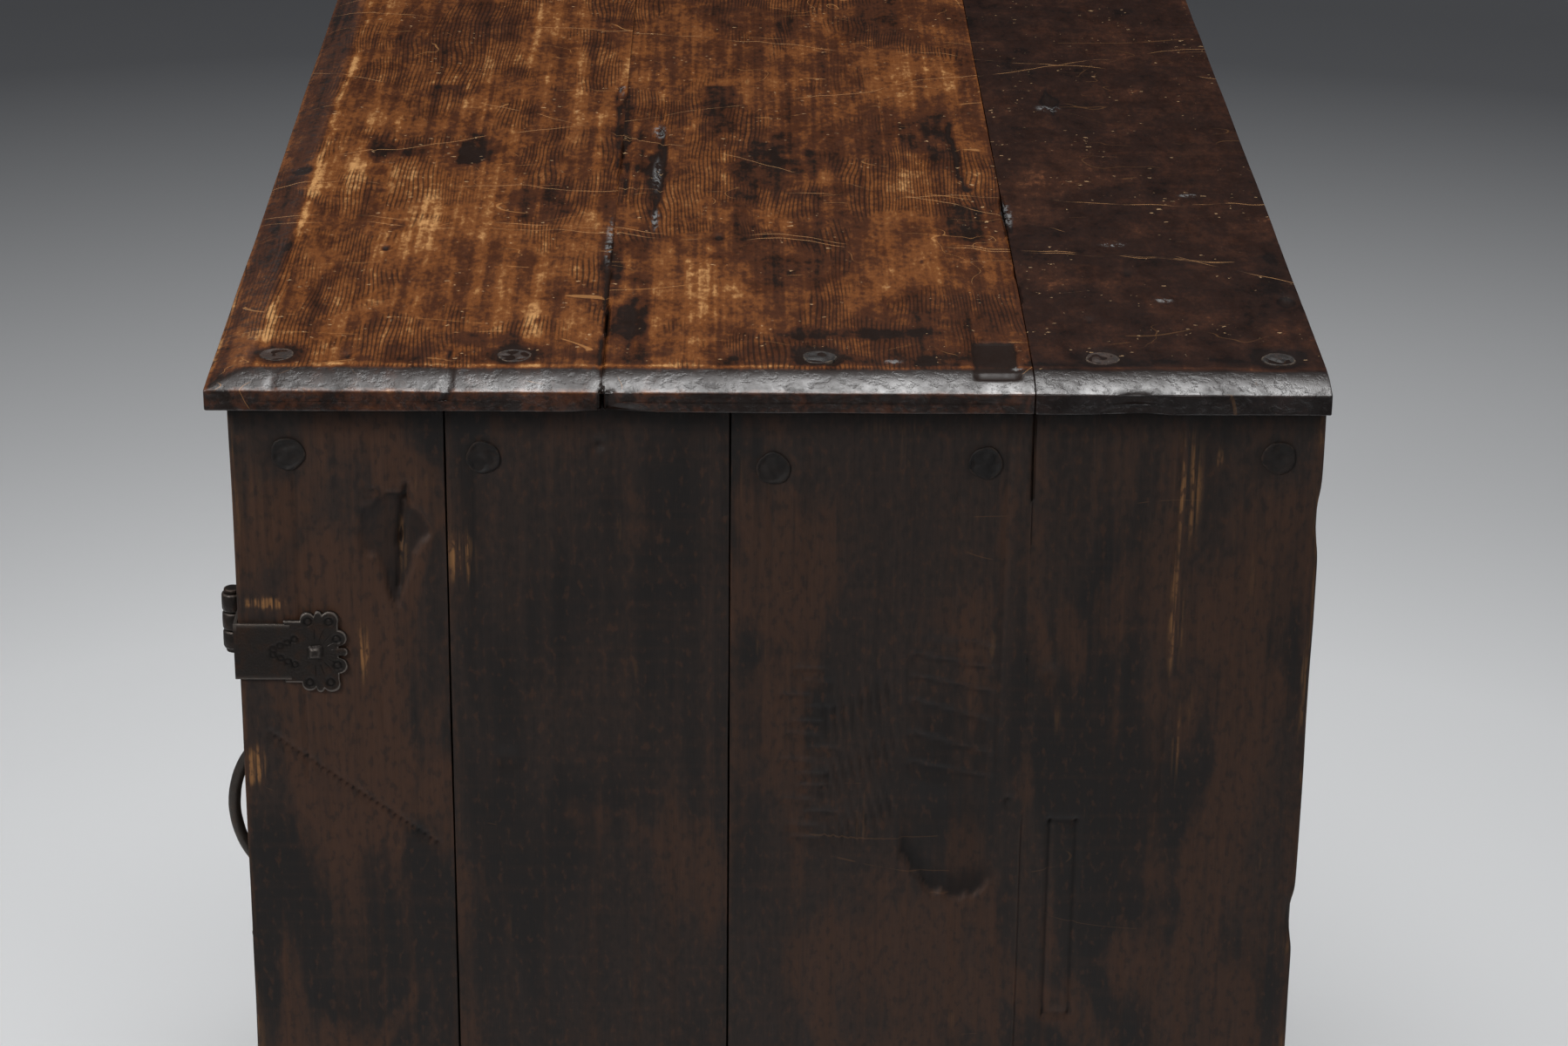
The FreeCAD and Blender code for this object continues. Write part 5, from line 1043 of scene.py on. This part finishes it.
OUT_FRONT = (0, -1, 0)
CASE_NECK = 25.8 * MM
DOOR_NECK = 34 * MM
LEAF_GAP = 6.25 * MM
ROOT_GAP = 1.5 * MM
ROOT_LENGTH = 6 * MM
KNUCKLE = STRAP / 3
KNUCKLE_GAP = 0.25 * MM
NAIL_PLACE = SHELL_MIDDLE * STRAP
PIN_HEAD = 2.2 * MM
pins = []
for turn, side in ((1, "right"), (-1, "left")):
    outwards = (turn, 0, 0)
    inwards = (-turn, 0, 0)
    axis = turn * HINGE_X
    case_iron = []
    door_iron = []
    case_heads = []
    door_heads = []
    for number, level in enumerate(HINGE_LEVELS):
        along, up, lift, marks = shell(CASE_NECK)
        points = np.stack([turn * (END_FACE + lift), FRONT + along, level + up], axis=-1)
        case_iron.append((points, marks))
        corner = (turn * END_FACE, FRONT - STRAP_THICK, level)
        case_iron.append(plate(corner, (0, 1, 0), outwards, 28 * MM, STRAP, 400 + number, True))
        root = (axis + turn * LEAF_GAP, FRONT, level)
        length = END_FACE + STRAP_THICK - HINGE_X - LEAF_GAP
        case_iron.append(plate(root, outwards, OUT_FRONT, length, STRAP, 410 + number))
        for share in (0, 2):
            low = level - STRAP / 2 + share * KNUCKLE + KNUCKLE_GAP * (share == 2)
            high = low + KNUCKLE - KNUCKLE_GAP
            case_iron.append(barrel(axis, low, high, BARREL))
            root = (axis + turn * ROOT_GAP, FRONT, (low + high) / 2)
            case_iron.append(plate(root, outwards, OUT_FRONT, ROOT_LENGTH, KNUCKLE - 0.3 * MM, 420 + share))
        along, up, lift, marks = shell(DOOR_NECK)
        points = np.stack([turn * (HINGE_X - along), FRONT - lift, level + up], axis=-1)
        door_iron.append((points, marks))
        root = (axis - turn * LEAF_GAP, FRONT, level)
        door_iron.append(plate(root, inwards, OUT_FRONT, 30 * MM, STRAP, 430 + number, True))
        half = KNUCKLE / 2 - KNUCKLE_GAP
        door_iron.append(barrel(axis, level - half, level + half, BARREL))
        root = (axis - turn * ROOT_GAP, FRONT, level)
        door_iron.append(plate(root, inwards, OUT_FRONT, ROOT_LENGTH, KNUCKLE - 0.6 * MM, 440))
        end_nail = (turn * (END_FACE + STRAP_THICK), FRONT + CASE_NECK + NAIL_PLACE, level)
        case_heads.append(nail_head(end_nail, outwards, number))
        for heads, x, seed in ((case_heads, END_FACE - 18 * MM, 3),
                               (door_heads, HINGE_X - DOOR_NECK - NAIL_PLACE, 5),
                               (door_heads, HINGE_X - 17 * MM, 7)):
            heads.append(nail_head((turn * x, FRONT - STRAP_THICK, level), OUT_FRONT, number + seed))
        for low in (level - STRAP / 2 - PIN_HEAD, level + STRAP / 2):
            pins.append(barrel(axis, low, low + PIN_HEAD, 4.4 * MM, 0.3 * MM))
    surface(f"{side}_case_hinges", case_iron, "case", iron, "forged_iron", f"{side}_case_leaves")
    surface(f"{side}_door_hinges", door_iron, f"{side}_door", iron, "forged_iron", f"{side}_door_leaves")
    surface(f"{side}_hinge_nails", case_heads, "case", iron, "forged_iron")
    surface(f"{side}_leaf_nails", door_heads, f"{side}_door", iron, "forged_iron", f"{side}_door_nails")
surface("hinge_pin_heads", pins, "case", iron, "forged_iron", "hinge_pins", "case_nails")


# Doors: stiles and rails of walnut, tenoned and pegged, each holding two carved panels in a groove.
# Their arrises are softened, and the wax is rubbed through where hands have been.
def between_stiles(side):
    """Where the opening between a door's two stiles starts and stops."""
    stiles = [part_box(f"{side}_{which}_stile") for which in ("hinge", "meeting")]
    return min(stile[1].x for stile in stiles), max(stile[0].x for stile in stiles)


DOOR_PARTS = (("hinge_stile", 2), ("meeting_stile", 2), ("door_top_rail", 0), ("door_mid_rail", 0),
              ("door_bottom_rail", 0))
for number, side in enumerate(("right", "left")):
    for count, (name, along) in enumerate(DOOR_PARTS):
        node = f"{side}_{name}"
        low, high = box_of(node)
        if along == 0:
            low[0], high[0] = between_stiles(side) + np.array([0.15, -0.15]) * MM
        points, given = board(low, high, along, [10 * MM, 3 * MM] * 2, 500 + 20 * number + count, 1.6 * MM,
                              0.8 * MM, 0.35 * MM, 1.5 * MM, step=3 * MM)
        given["tone"] = (0.2 + 0.31 * count + 0.15 * number) % 1
        surface(f"{node}_waxed", [(points, given)], f"{side}_door", front_x if along == 0 else front_z,
                "carved_walnut", node)

# Carved panels: one board each, its tongue in the frame's groove and a raised field on its face. A
# six-petalled compass rosette is cut in a sunk ground, and a small cut fills each corner.
# Each cut has half its length, half its width and its depth.
MARGIN, BORDER, FIELD_DEPTH, GROUND_DEPTH = np.array([10, 9, 3, 2]) * MM
PETAL_OUT = 46 * MM
PETAL = np.array([41, 12.5, 5]) * MM
SMALL_OUT = 62 * MM
SMALL_CUT = np.array([17, 5.5, 2.6]) * MM
CORNER_INSET = 37 * MM
CORNER_CUT = np.array([16, 6.5, 3]) * MM
RINGS = (90 * MM, 93.5 * MM)
PUNCH_PITCH = 5.2 * MM
BEAD_PITCH = 9 * MM
CUT_STEP = 1.5 * MM
TONGUE = 8 * MM


def lens(along, off, half_length, half_width, deep):
    """Depth of a petal cut by two crossing balls: the lesser of two ball depths, from its middle."""
    arc = (half_length ** 2 + half_width ** 2) / (2 * half_width)
    rise = (half_length ** 2 - deep ** 2) / (2 * deep)
    radius = np.hypot(arc, rise)
    depth = np.full(along.shape, 1.0)
    for sign in (1, -1):
        gap = along ** 2 + (off + sign * (arc - half_width)) ** 2
        depth = np.minimum(depth, np.sqrt(np.maximum(radius ** 2 - gap, 0)) - rise)
    return np.maximum(depth, 0)


def swung(x, z, angle):
    """Places along a line at an angle through the middle, and off it."""
    return x * np.cos(angle) + z * np.sin(angle), z * np.cos(angle) - x * np.sin(angle)


def carving(points, middle, half):
    """Depth below the field of one panel's face: its margin, sunk ground, ring, petals, the small cuts
    between the petals, corner cuts, a punched ground and a beaded border."""
    x = points[..., 0] - middle[0]
    z = points[..., 2] - middle[1]
    edge = np.minimum(half[0] - np.abs(x), half[1] - np.abs(z))
    sunk = fade(edge, MARGIN + BORDER - 0.4 * MM, MARGIN + BORDER + 1.2 * MM)
    cuts = GROUND_DEPTH + 0 * x
    for angle in np.pi / 2 + np.arange(6) * np.pi / 3:
        along, off = swung(x, z, angle)
        petal = lens(along - PETAL_OUT, off, *PETAL)
        rib = 0.5 * MM * np.exp(-(off / (1.0 * MM)) ** 2) * (petal > 2.5 * MM)
        along, off = swung(x, z, angle + np.pi / 6)
        cuts = cuts + np.maximum(petal - rib, 0) + lens(along - SMALL_OUT, off, *SMALL_CUT)
    for right, up in ((1, 1), (1, -1), (-1, 1), (-1, -1)):
        from_x = x - right * (half[0] - CORNER_INSET)
        from_z = z - up * (half[1] - CORNER_INSET)
        cuts = cuts + lens(*swung(from_x, from_z, np.arctan2(up, right)), *CORNER_CUT)
    reach = np.hypot(x, z)
    for radius in RINGS:
        cuts = cuts + 1.1 * MM * np.exp(-((reach - radius) / (0.9 * MM)) ** 2)
    punched = np.sin(x * 2 * np.pi / PUNCH_PITCH) * np.sin(z * 2 * np.pi / PUNCH_PITCH)
    cuts = cuts + 0.7 * MM * fade(punched, 0.35, 0.9) * fade(reach, 95 * MM, 97 * MM)
    beads = np.sin((x + z) * 2 * np.pi / BEAD_PITCH)
    on_border = window(edge, MARGIN + 1.5 * MM, MARGIN + BORDER - 1.5 * MM, 1 * MM, 1 * MM)
    depth = FIELD_DEPTH * fade(-edge, -MARGIN - 1.6 * MM, 0.4 * MM - MARGIN) + cuts * sunk
    depth = depth + 0.9 * MM * on_border * fade(np.abs(beads), 0.75, 1.0)
    return depth * (points[..., 1] < FRONT + 14 * MM)


carved = wood("carved walnut", 2, "#1c130d", "#3a2718", "#4f3521", "#94693e", gloss=0.36, worn_share=0.8,
              fibre=0.4, toned=0.3, scuffed=0.15, bands=0.4)
PANELS = [(side, level) for side in ("right", "left") for level in ("upper", "lower")]
for number, (side, level) in enumerate(PANELS):
    node = f"{side}_{level}_panel"
    low, high = box_of(node)
    start, stop = between_stiles(side)
    middle = (low + high)[[0, 2]] / 2
    half = ((stop - start) / 2, (high[2] - low[2]) / 2 - TONGUE)
    low[1] = FRONT + 6 * MM
    points, given = board(low, high, 2, [CUT_STEP, 10 * MM, 10 * MM, 10 * MM], 600 + number, 0.8 * MM,
                          0.8 * MM, 0.2 * MM, 0.0, step=CUT_STEP)
    depth = carving(points, middle, half)
    points[..., 1] += depth
    slope = np.hypot(*np.gradient(depth)) / CUT_STEP
    # Painted shade: the carving darkens with the depth of each cut and on its steep walls.
    given["stain_and_shade"] = 0.8 * fade(depth, 2.5 * MM, 7 * MM) + 0.2 * fade(slope, 0.4, 1.2)
    # Wear and painted highlight: the raised field is a little lighter, and the ridges between the cuts are
    # lightened as painted highlights.
    steep = np.maximum.reduce([np.roll(slope, move, axis) for axis in (0, 1) for move in (-1, 0, 1)])
    below_ground = depth - GROUND_DEPTH * fade(depth, 0.3 * MM, GROUND_DEPTH)
    ridge = fade(steep, 0.15, 0.5) * fade(-below_ground, -1.1 * MM, -0.3 * MM)
    given["wear_and_highlight"] = np.clip(0.12 * fade(-depth, -1.5 * MM, 0) + 0.5 * ridge, 0, 1)
    given["tone"] = (0.15 + 0.27 * number) % 1
    surface(f"{side}_{level}_carving", [(points, given)], f"{side}_door", carved, "carved_walnut", node)

# Pegs through the door joints: small whittled pins, driven through the stiles and the tenons of the
# rails and left a hair proud of the frame.
peg_wood_y = wood("door peg end grain", 1, "#130d0a", "#241912", "#35241a", "#6d4c2e", 0.45, worn_share=0.6)
JOINT_INSET = 17 * MM
JOINT_RADIUS = 4.4 * MM
JOINT_LENGTH = 28.5 * MM
for side in ("right", "left"):
    joint_pins = []
    for name in ("top", "mid", "bottom"):
        rail_low, rail_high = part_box(f"{side}_door_{name}_rail")
        for share, x in enumerate((rail_low.x + JOINT_INSET, rail_high.x - JOINT_INSET)):
            centre = (x, FRONT - 0.7 * MM, (rail_low.z + rail_high.z) / 2)
            points, given = pin_end(centre, 1, JOINT_RADIUS, JOINT_LENGTH, share + len(name), 0.4 * MM)
            given["tone"] = 0.3 * share
            joint_pins.append((points, given))
    surface(f"{side}_door_pins", joint_pins, f"{side}_door", peg_wood_y, "peg_wood", f"{side}_door_pegs")

# Pull: a bar of iron drawn down by hammer and bent to a half round. Its two tangs are driven into the
# meeting stile of the right door.
HANDLE_LOW, HANDLE_HIGH = box_of("door_handle")
HANDLE_MIDDLE = (HANDLE_LOW + HANDLE_HIGH) / 2
BAR = (HANDLE_HIGH - HANDLE_LOW)[0] / 2 - 0.15 * MM
BOW_REACH = (HANDLE_HIGH - HANDLE_LOW)[2] / 2 - BAR - 0.15 * MM
bend = np.linspace(-np.pi / 2, np.pi / 2, 90)
turns = full_turn(24)
thick = BAR * (0.86 + 0.14 * np.cos(bend) ** 2)
outer = np.stack([0 * bend, -np.cos(bend), np.sin(bend)], axis=-1)
path = np.array([HANDLE_MIDDLE[0], FRONT, HANDLE_MIDDLE[2]]) + BOW_REACH * outer
section = np.cos(turns)[:, None] * outer[:, None] + np.sin(turns)[:, None] * np.array([1.0, 0, 0])
bow = path[:, None] + thick[:, None, None] * section
bow = bow - outward(bow) * (0.18 * MM * (0.5 + 0.5 * np.clip(rough(bow, 801, 14 * MM), -1, 1)))[..., None]
tangs = np.array([0, 1.0, 0]) * np.array([0.2, 8, 18])[:, None, None] * MM
bow = np.concatenate([bow[0] + tangs[::-1], bow, bow[-1] + tangs])
rubbed = 0.14 * np.concatenate([np.zeros(3), np.cos(bend) ** 2, np.zeros(3)])[:, None]
surface("bow_pull", [(bow, {"wear_and_highlight": rubbed})], "right_door", iron, "forged_iron", "door_handle")

# Lock: an iron escutcheon nailed over the keyhole, and behind the stile a wooden stock that houses the
# bolt. The key has a ring bow, a turned collar and a plain bit.
PLATE_LOW, PLATE_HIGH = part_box("escutcheon")
KEY_X = (PLATE_LOW.x + PLATE_HIGH.x) / 2
KEY_Z = HANDLE_LOW[2] - 22 * MM
PLATE_RADIUS = 17 * MM
PLATE_THICK = 1.6 * MM
EAR_PLACE = PLATE_RADIUS + 2.3 * MM
EAR_RADIUS = 6.9 * MM
angles = full_turn(160)
ray = np.stack([np.cos(angles), np.sin(angles)], axis=-1)
rim = np.full(len(angles), PLATE_RADIUS)
for sign in (1, -1):
    rim = bulged(rim, ray, (sign * EAR_PLACE, 0), EAR_RADIUS)
slot = np.minimum(to_edge(2.7 * MM, np.abs(ray[:, 0])), to_edge(12.5 * MM, np.abs(ray[:, 1])))
hole = np.maximum(4.2 * MM, slot * (ray[:, 1] < 0))
shares = np.concatenate([np.linspace(1, 0, 14), [0.0, 0.0, 0.5, 1.0]])
lift = np.concatenate([[0.6], np.ones(12), [0.7], [0.4, 0.0, 0.0, 0.0]])[:, None] * PLATE_THICK
reach = hole + (rim - hole) * shares[:, None]
scored = np.exp(-((reach - 14.5 * MM) / (0.5 * MM)) ** 2) * (lift > 1.5 * MM)
points = turned((KEY_X, FRONT, KEY_Z), (1, 0, 0), (0, 0, 1), angles, reach, lift - 0.4 * MM * scored)
worn = 0.4 * np.exp(-((shares - 1) / 0.06) ** 2)[:, None]
points, scored, worn = [np.concatenate([rows, rows[:1]]) for rows in (points, scored, worn)]
plate_marks = {"stain_and_shade": 0.8 * scored, "wear_and_highlight": worn}
surface("escutcheon_plate", [(points, plate_marks)], "right_door", iron, "forged_iron", "escutcheon")
plate_heads = []
for sign in (1, -1):
    centre = (KEY_X + sign * EAR_PLACE, FRONT - PLATE_THICK, KEY_Z)
    plate_heads.append(nail_head(centre, OUT_FRONT, 9, 3.4 * MM, 2.0 * MM))
surface("escutcheon_nails", plate_heads, "right_door", iron, "forged_iron")

points, given = board(*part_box("lock_stock"), 0, [3 * MM] * 4, 820, 3.0 * MM, 2.5 * MM, 0.3 * MM, step=3 * MM)
given["tone"] = 0.5
surface("stock_block", [(points, given)], "right_door", inner_x, "rough_inner_walnut", "lock_stock")
points, given = board(*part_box("lock_bolt"), 0, [2 * MM] * 4, 821, 0.6 * MM, 0.6 * MM, 0.1 * MM, 0.3 * MM,
                      step=2 * MM)
given["wear_and_highlight"] = 0.4 * given["wear_and_highlight"]
surface("bolt_bar", [(points, given)], "lock_bolt", iron, "forged_iron", "lock_bolt")

KEY_LOW, KEY_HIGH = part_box("key")
KEY_TILT = np.radians(41)
KEY_WIRE = 2.6 * MM
BIT_LOW = (-2 * MM, -0.202, 1.5 * MM)
BIT_HIGH = (2 * MM, -0.195, 12 * MM)
key_side = np.array([np.cos(KEY_TILT), 0, -np.sin(KEY_TILT)])
key_up = np.array([np.sin(KEY_TILT), 0, np.cos(KEY_TILT)])
key_in = np.array([0, 1.0, 0])
key_root = np.array([KEY_X, 0, KEY_Z])
bow_turn = full_turn(64)[:, None]
bow_centre = KEY_LOW.y + 16 * MM
spin = full_turn(16)
reach = 13.3 * MM + KEY_WIRE * np.cos(spin)
loop = (key_root + (bow_centre + reach * np.cos(bow_turn))[..., None] * key_in
        + (0.98 * reach * np.sin(bow_turn))[..., None] * key_up
        + (0.9 * KEY_WIRE * np.sin(spin))[:, None] * key_side)
loop = np.concatenate([loop, loop[:1]])
shank_y = np.array([0, 0, 1.5, 2.5, 4.0, 6.0, 7.5, 9.0, 10, 13, 15, 60, 60.5, 61, 66.5, 66.5])
shank_r = np.array([0.4, 3.0, 3.4, 4.6, 5.1, 5.1, 4.2, 4.9, 4.9, 3.6, 3.3, 3.3, 3.0, 2.4, 2.4, 0.4]) * MM
shank_start = bow_centre + 14.5 * MM
shank_y = shank_start + shank_y * (KEY_HIGH.y - shank_start - 0.1 * MM) / shank_y[-1]
shank = turned(key_root, key_side, key_up, spin, shank_r[:, None], -shank_y[:, None])
bit, given = board(BIT_LOW, BIT_HIGH, 2, [1.5 * MM] * 4, 830, 0.4 * MM, 0.4 * MM, 0.05 * MM, 0.1 * MM,
                   step=1.5 * MM)
bit = key_root + bit @ np.array([key_side, key_in, key_up])
key_pieces = [(points, {"wear_and_highlight": 0.35}) for points in (loop, shank, bit)]
surface("ring_key", key_pieces, "key", iron, "forged_iron", "key")

# Staple and button on the left door: a bent iron strip that takes the bolt, and a wooden turn button
# on its own spindle that holds the door behind the rail's lip.
STAPLE_LOW, STAPLE_HIGH = box_of("bolt_staple")
STAPLE_BAR = 4 * MM
staple_pieces = []
# Two arms and the bar across them: the way each runs, the side of the box that it keeps to, and how
# far its low and high corners are moved in.
for along, side, foot, head in (
        (1, 2, (0, 0, 0), (0, -0.4 * MM, 0)), (1, -2, (0, 0, 0), (0, -0.4 * MM, 0)),
        (2, -1, (0, 0, 0.3 * MM), (0, 0, -0.3 * MM))):
    low, high = STAPLE_LOW + foot, STAPLE_HIGH + head
    if side > 0:
        high[side] = low[side] + STAPLE_BAR
    else:
        low[-side] = high[-side] - STAPLE_BAR
    points, given = board(low, high, along, [1.5 * MM] * 4, 840, 0.7 * MM, 0.7 * MM, 0.08 * MM, 0.1 * MM,
                          step=1.5 * MM)
    staple_pieces.append((points, {"wear_and_highlight": 0.4 * given["wear_and_highlight"]}))
surface("staple_strip", staple_pieces, "left_door", iron, "forged_iron", "bolt_staple")

BUTTON_LOW, BUTTON_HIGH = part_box("turn_button")
BUTTON_X = BUTTON_HIGH.x - 13 * MM
BUTTON_Z = (BUTTON_LOW.z + BUTTON_HIGH.z) / 2
BUTTON_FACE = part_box("left_meeting_stile")[1].y + 0.4 * MM
BUTTON_REACH = 38 * MM
angles = full_turn(96)
ray = np.stack([np.cos(angles), np.sin(angles)], axis=-1)
rim = bulged(np.full(len(angles), 12.9 * MM), ray, (-BUTTON_REACH, 0), 9.9 * MM)
flank = np.minimum(to_edge(10 * MM, np.abs(ray[:, 1])), to_edge(BUTTON_REACH, -ray[:, 0]))
rim = np.maximum(rim, flank * (ray[:, 0] < 0))
shares = np.array([0.02, 0.3, 0.6, 0.86, 0.95, 1.0, 1.0, 0.97, 0.5, 0.02])[:, None]
rises = np.array([1.0, 1.0, 1.0, 1.0, 0.94, 0.78, 0.12, 0.0, 0.0, 0.0])[:, None]
rises = rises * (BUTTON_HIGH.y - BUTTON_FACE)
points = turned((BUTTON_X, BUTTON_FACE, BUTTON_Z), (1, 0, 0), (0, 0, 1), angles, rim * shares, -rises)
spindle_r = np.array([0.5, 5.9, 5.9, 0.5])[:, None] * MM
spindle_y = np.array([BUTTON_LOW.y, BUTTON_LOW.y, BUTTON_FACE + 1 * MM, BUTTON_FACE + 1 * MM])[:, None]
spindle = turned((BUTTON_X, 0, BUTTON_Z), (1, 0, 0), (0, 0, 1), full_turn(24), spindle_r, -spindle_y)
button_marks = {"tone": 0.4, "wear_and_highlight": 0.6 * np.exp(-((shares - 0.97) / 0.04) ** 2)}
surface("turn_button_wood", [(points, button_marks), (spindle, {"tone": 0.4})], "turn_button", inner_x,
        "rough_inner_walnut", "turn_button")

# Studio: a floor under plain grey air, its colour pale near the chest, painted darker further off for the
# fall-off of light and lighter again far away, where it fades into the air; one broad soft light above, a
# smaller one from the front corner and one for the sheen on the top, fills at the end, the front and the back,
# and the camera high at the right end, where the picture was taken.
floor_mesh = bpy.data.meshes.new("studio_floor")
FLOOR = 14.0
corners = [(-FLOOR, -FLOOR, 0), (FLOOR, -FLOOR, 0), (FLOOR, FLOOR, 0), (-FLOOR, FLOOR, 0)]
floor_mesh.from_pydata(corners, [], [(0, 1, 2, 3)])
floor = bpy.data.objects.new("studio_floor", floor_mesh)
bpy.context.scene.collection.objects.link(floor)
paper, paper_tree, paper_shader = coat("studio paper with painted falloff")
paper_place = add(paper_tree, "TexCoord", out="Object")
paper_reach = add(paper_tree, "VectorMath", {0: paper_place}, "Value", operation="LENGTH")
# Painted shade: from 1.2 m to 3.1 m out the paper darkens, for the fall-off of light, and from 3.4 m to 7 m it
# lightens again towards the grey of the air.
paper_colour_with_painted_falloff = colour("#e0e1e2")
for start, end, tint in ((1.2, 3.1, "#77787b"), (3.4, 7.0, "#bcbdbf")):
    share = add(paper_tree, "MapRange", {0: paper_reach, 1: start, 2: end})
    paper_colour_with_painted_falloff = add(paper_tree, "Mix", {0: share, 6: paper_colour_with_painted_falloff, 7: colour(tint)}, 2, data_type="RGBA")
paper_tree.links.new(paper_colour_with_painted_falloff, paper_shader.inputs["Base Color"])
paper_shader.inputs["Roughness"].default_value = 0.9
floor_mesh.materials.append(paper)

world = bpy.data.worlds.new("studio air")
world.use_nodes = True
air = world.node_tree
seen = 0
for ray in ("Is Camera Ray", "Is Glossy Ray", "Is Transmission Ray"):
    seen = add(air, "Math", {0: add(air, "LightPath", out=ray), 1: seen}, operation="MAXIMUM")
air_shade = add(air, "Mix", {0: seen, 6: colour("#505255"), 7: colour("#3c3d3f")}, 2, data_type="RGBA")
air.links.new(air_shade, air.nodes["Background"].inputs["Color"])
bpy.context.scene.world = world


def soft_light(name, place, target, size, watts, spread):
    """A square soft light at a place, turned to a target."""
    lamp = bpy.data.lights.new(name, "AREA")
    lamp.shape = "SQUARE"
    lamp.size = size
    lamp.energy = watts
    lamp.spread = np.radians(spread)
    made = bpy.data.objects.new(name, lamp)
    made.location = place
    made.rotation_euler = (Vector(target) - Vector(place)).to_track_quat("-Z", "Y").to_euler()
    bpy.context.scene.collection.objects.link(made)


soft_light("overhead_key", (-0.3, 0.05, 3.3), (-0.2, 0.1, 0.0), 1.8, 46, 150)
soft_light("rear_sheen", (-1.0, 0.35, 3.4), (0.48, 0, 0.86), 0.9, 2.4, 70)
soft_light("end_key", (1.9, -1.7, 2.4), (0.476, 0, 0.55), 0.8, 7, 60)
soft_light("end_fill", (3.4, 0.8, 2.6), (0.4, 0, 0.4), 1.6, 10, 120)
soft_light("front_fill", (0.4, -3.4, 2.0), (0, 0, 0.5), 2.0, 12, 150)
soft_light("back_fill", (0.8, 3.0, 2.2), (0, 0, 0.5), 2.0, 18, 150)

EYE = Vector((2.2739, 0.0121, 1.5527))
YAW, PITCH, ROLL = np.radians((-0.822, 22.935, 0.582))
sight = Vector((-np.cos(YAW) * np.cos(PITCH), -np.sin(YAW) * np.cos(PITCH), -np.sin(PITCH)))
level_right = sight.cross(Vector((0, 0, 1))).normalized()
level_up = level_right.cross(sight)
right = np.cos(ROLL) * level_right + np.sin(ROLL) * level_up
up = np.cos(ROLL) * level_up - np.sin(ROLL) * level_right
lens_data = bpy.data.cameras.new("photo_view")
lens_data.sensor_width = 36.0
lens_data.lens = 91.9
camera = bpy.data.objects.new("photo_view", lens_data)
camera.matrix_world = Matrix((right, up, -sight)).transposed().to_4x4()
camera.location = EYE
bpy.context.scene.collection.objects.link(camera)
bpy.context.scene.camera = camera
bpy.context.scene.view_settings.view_transform = "Standard"
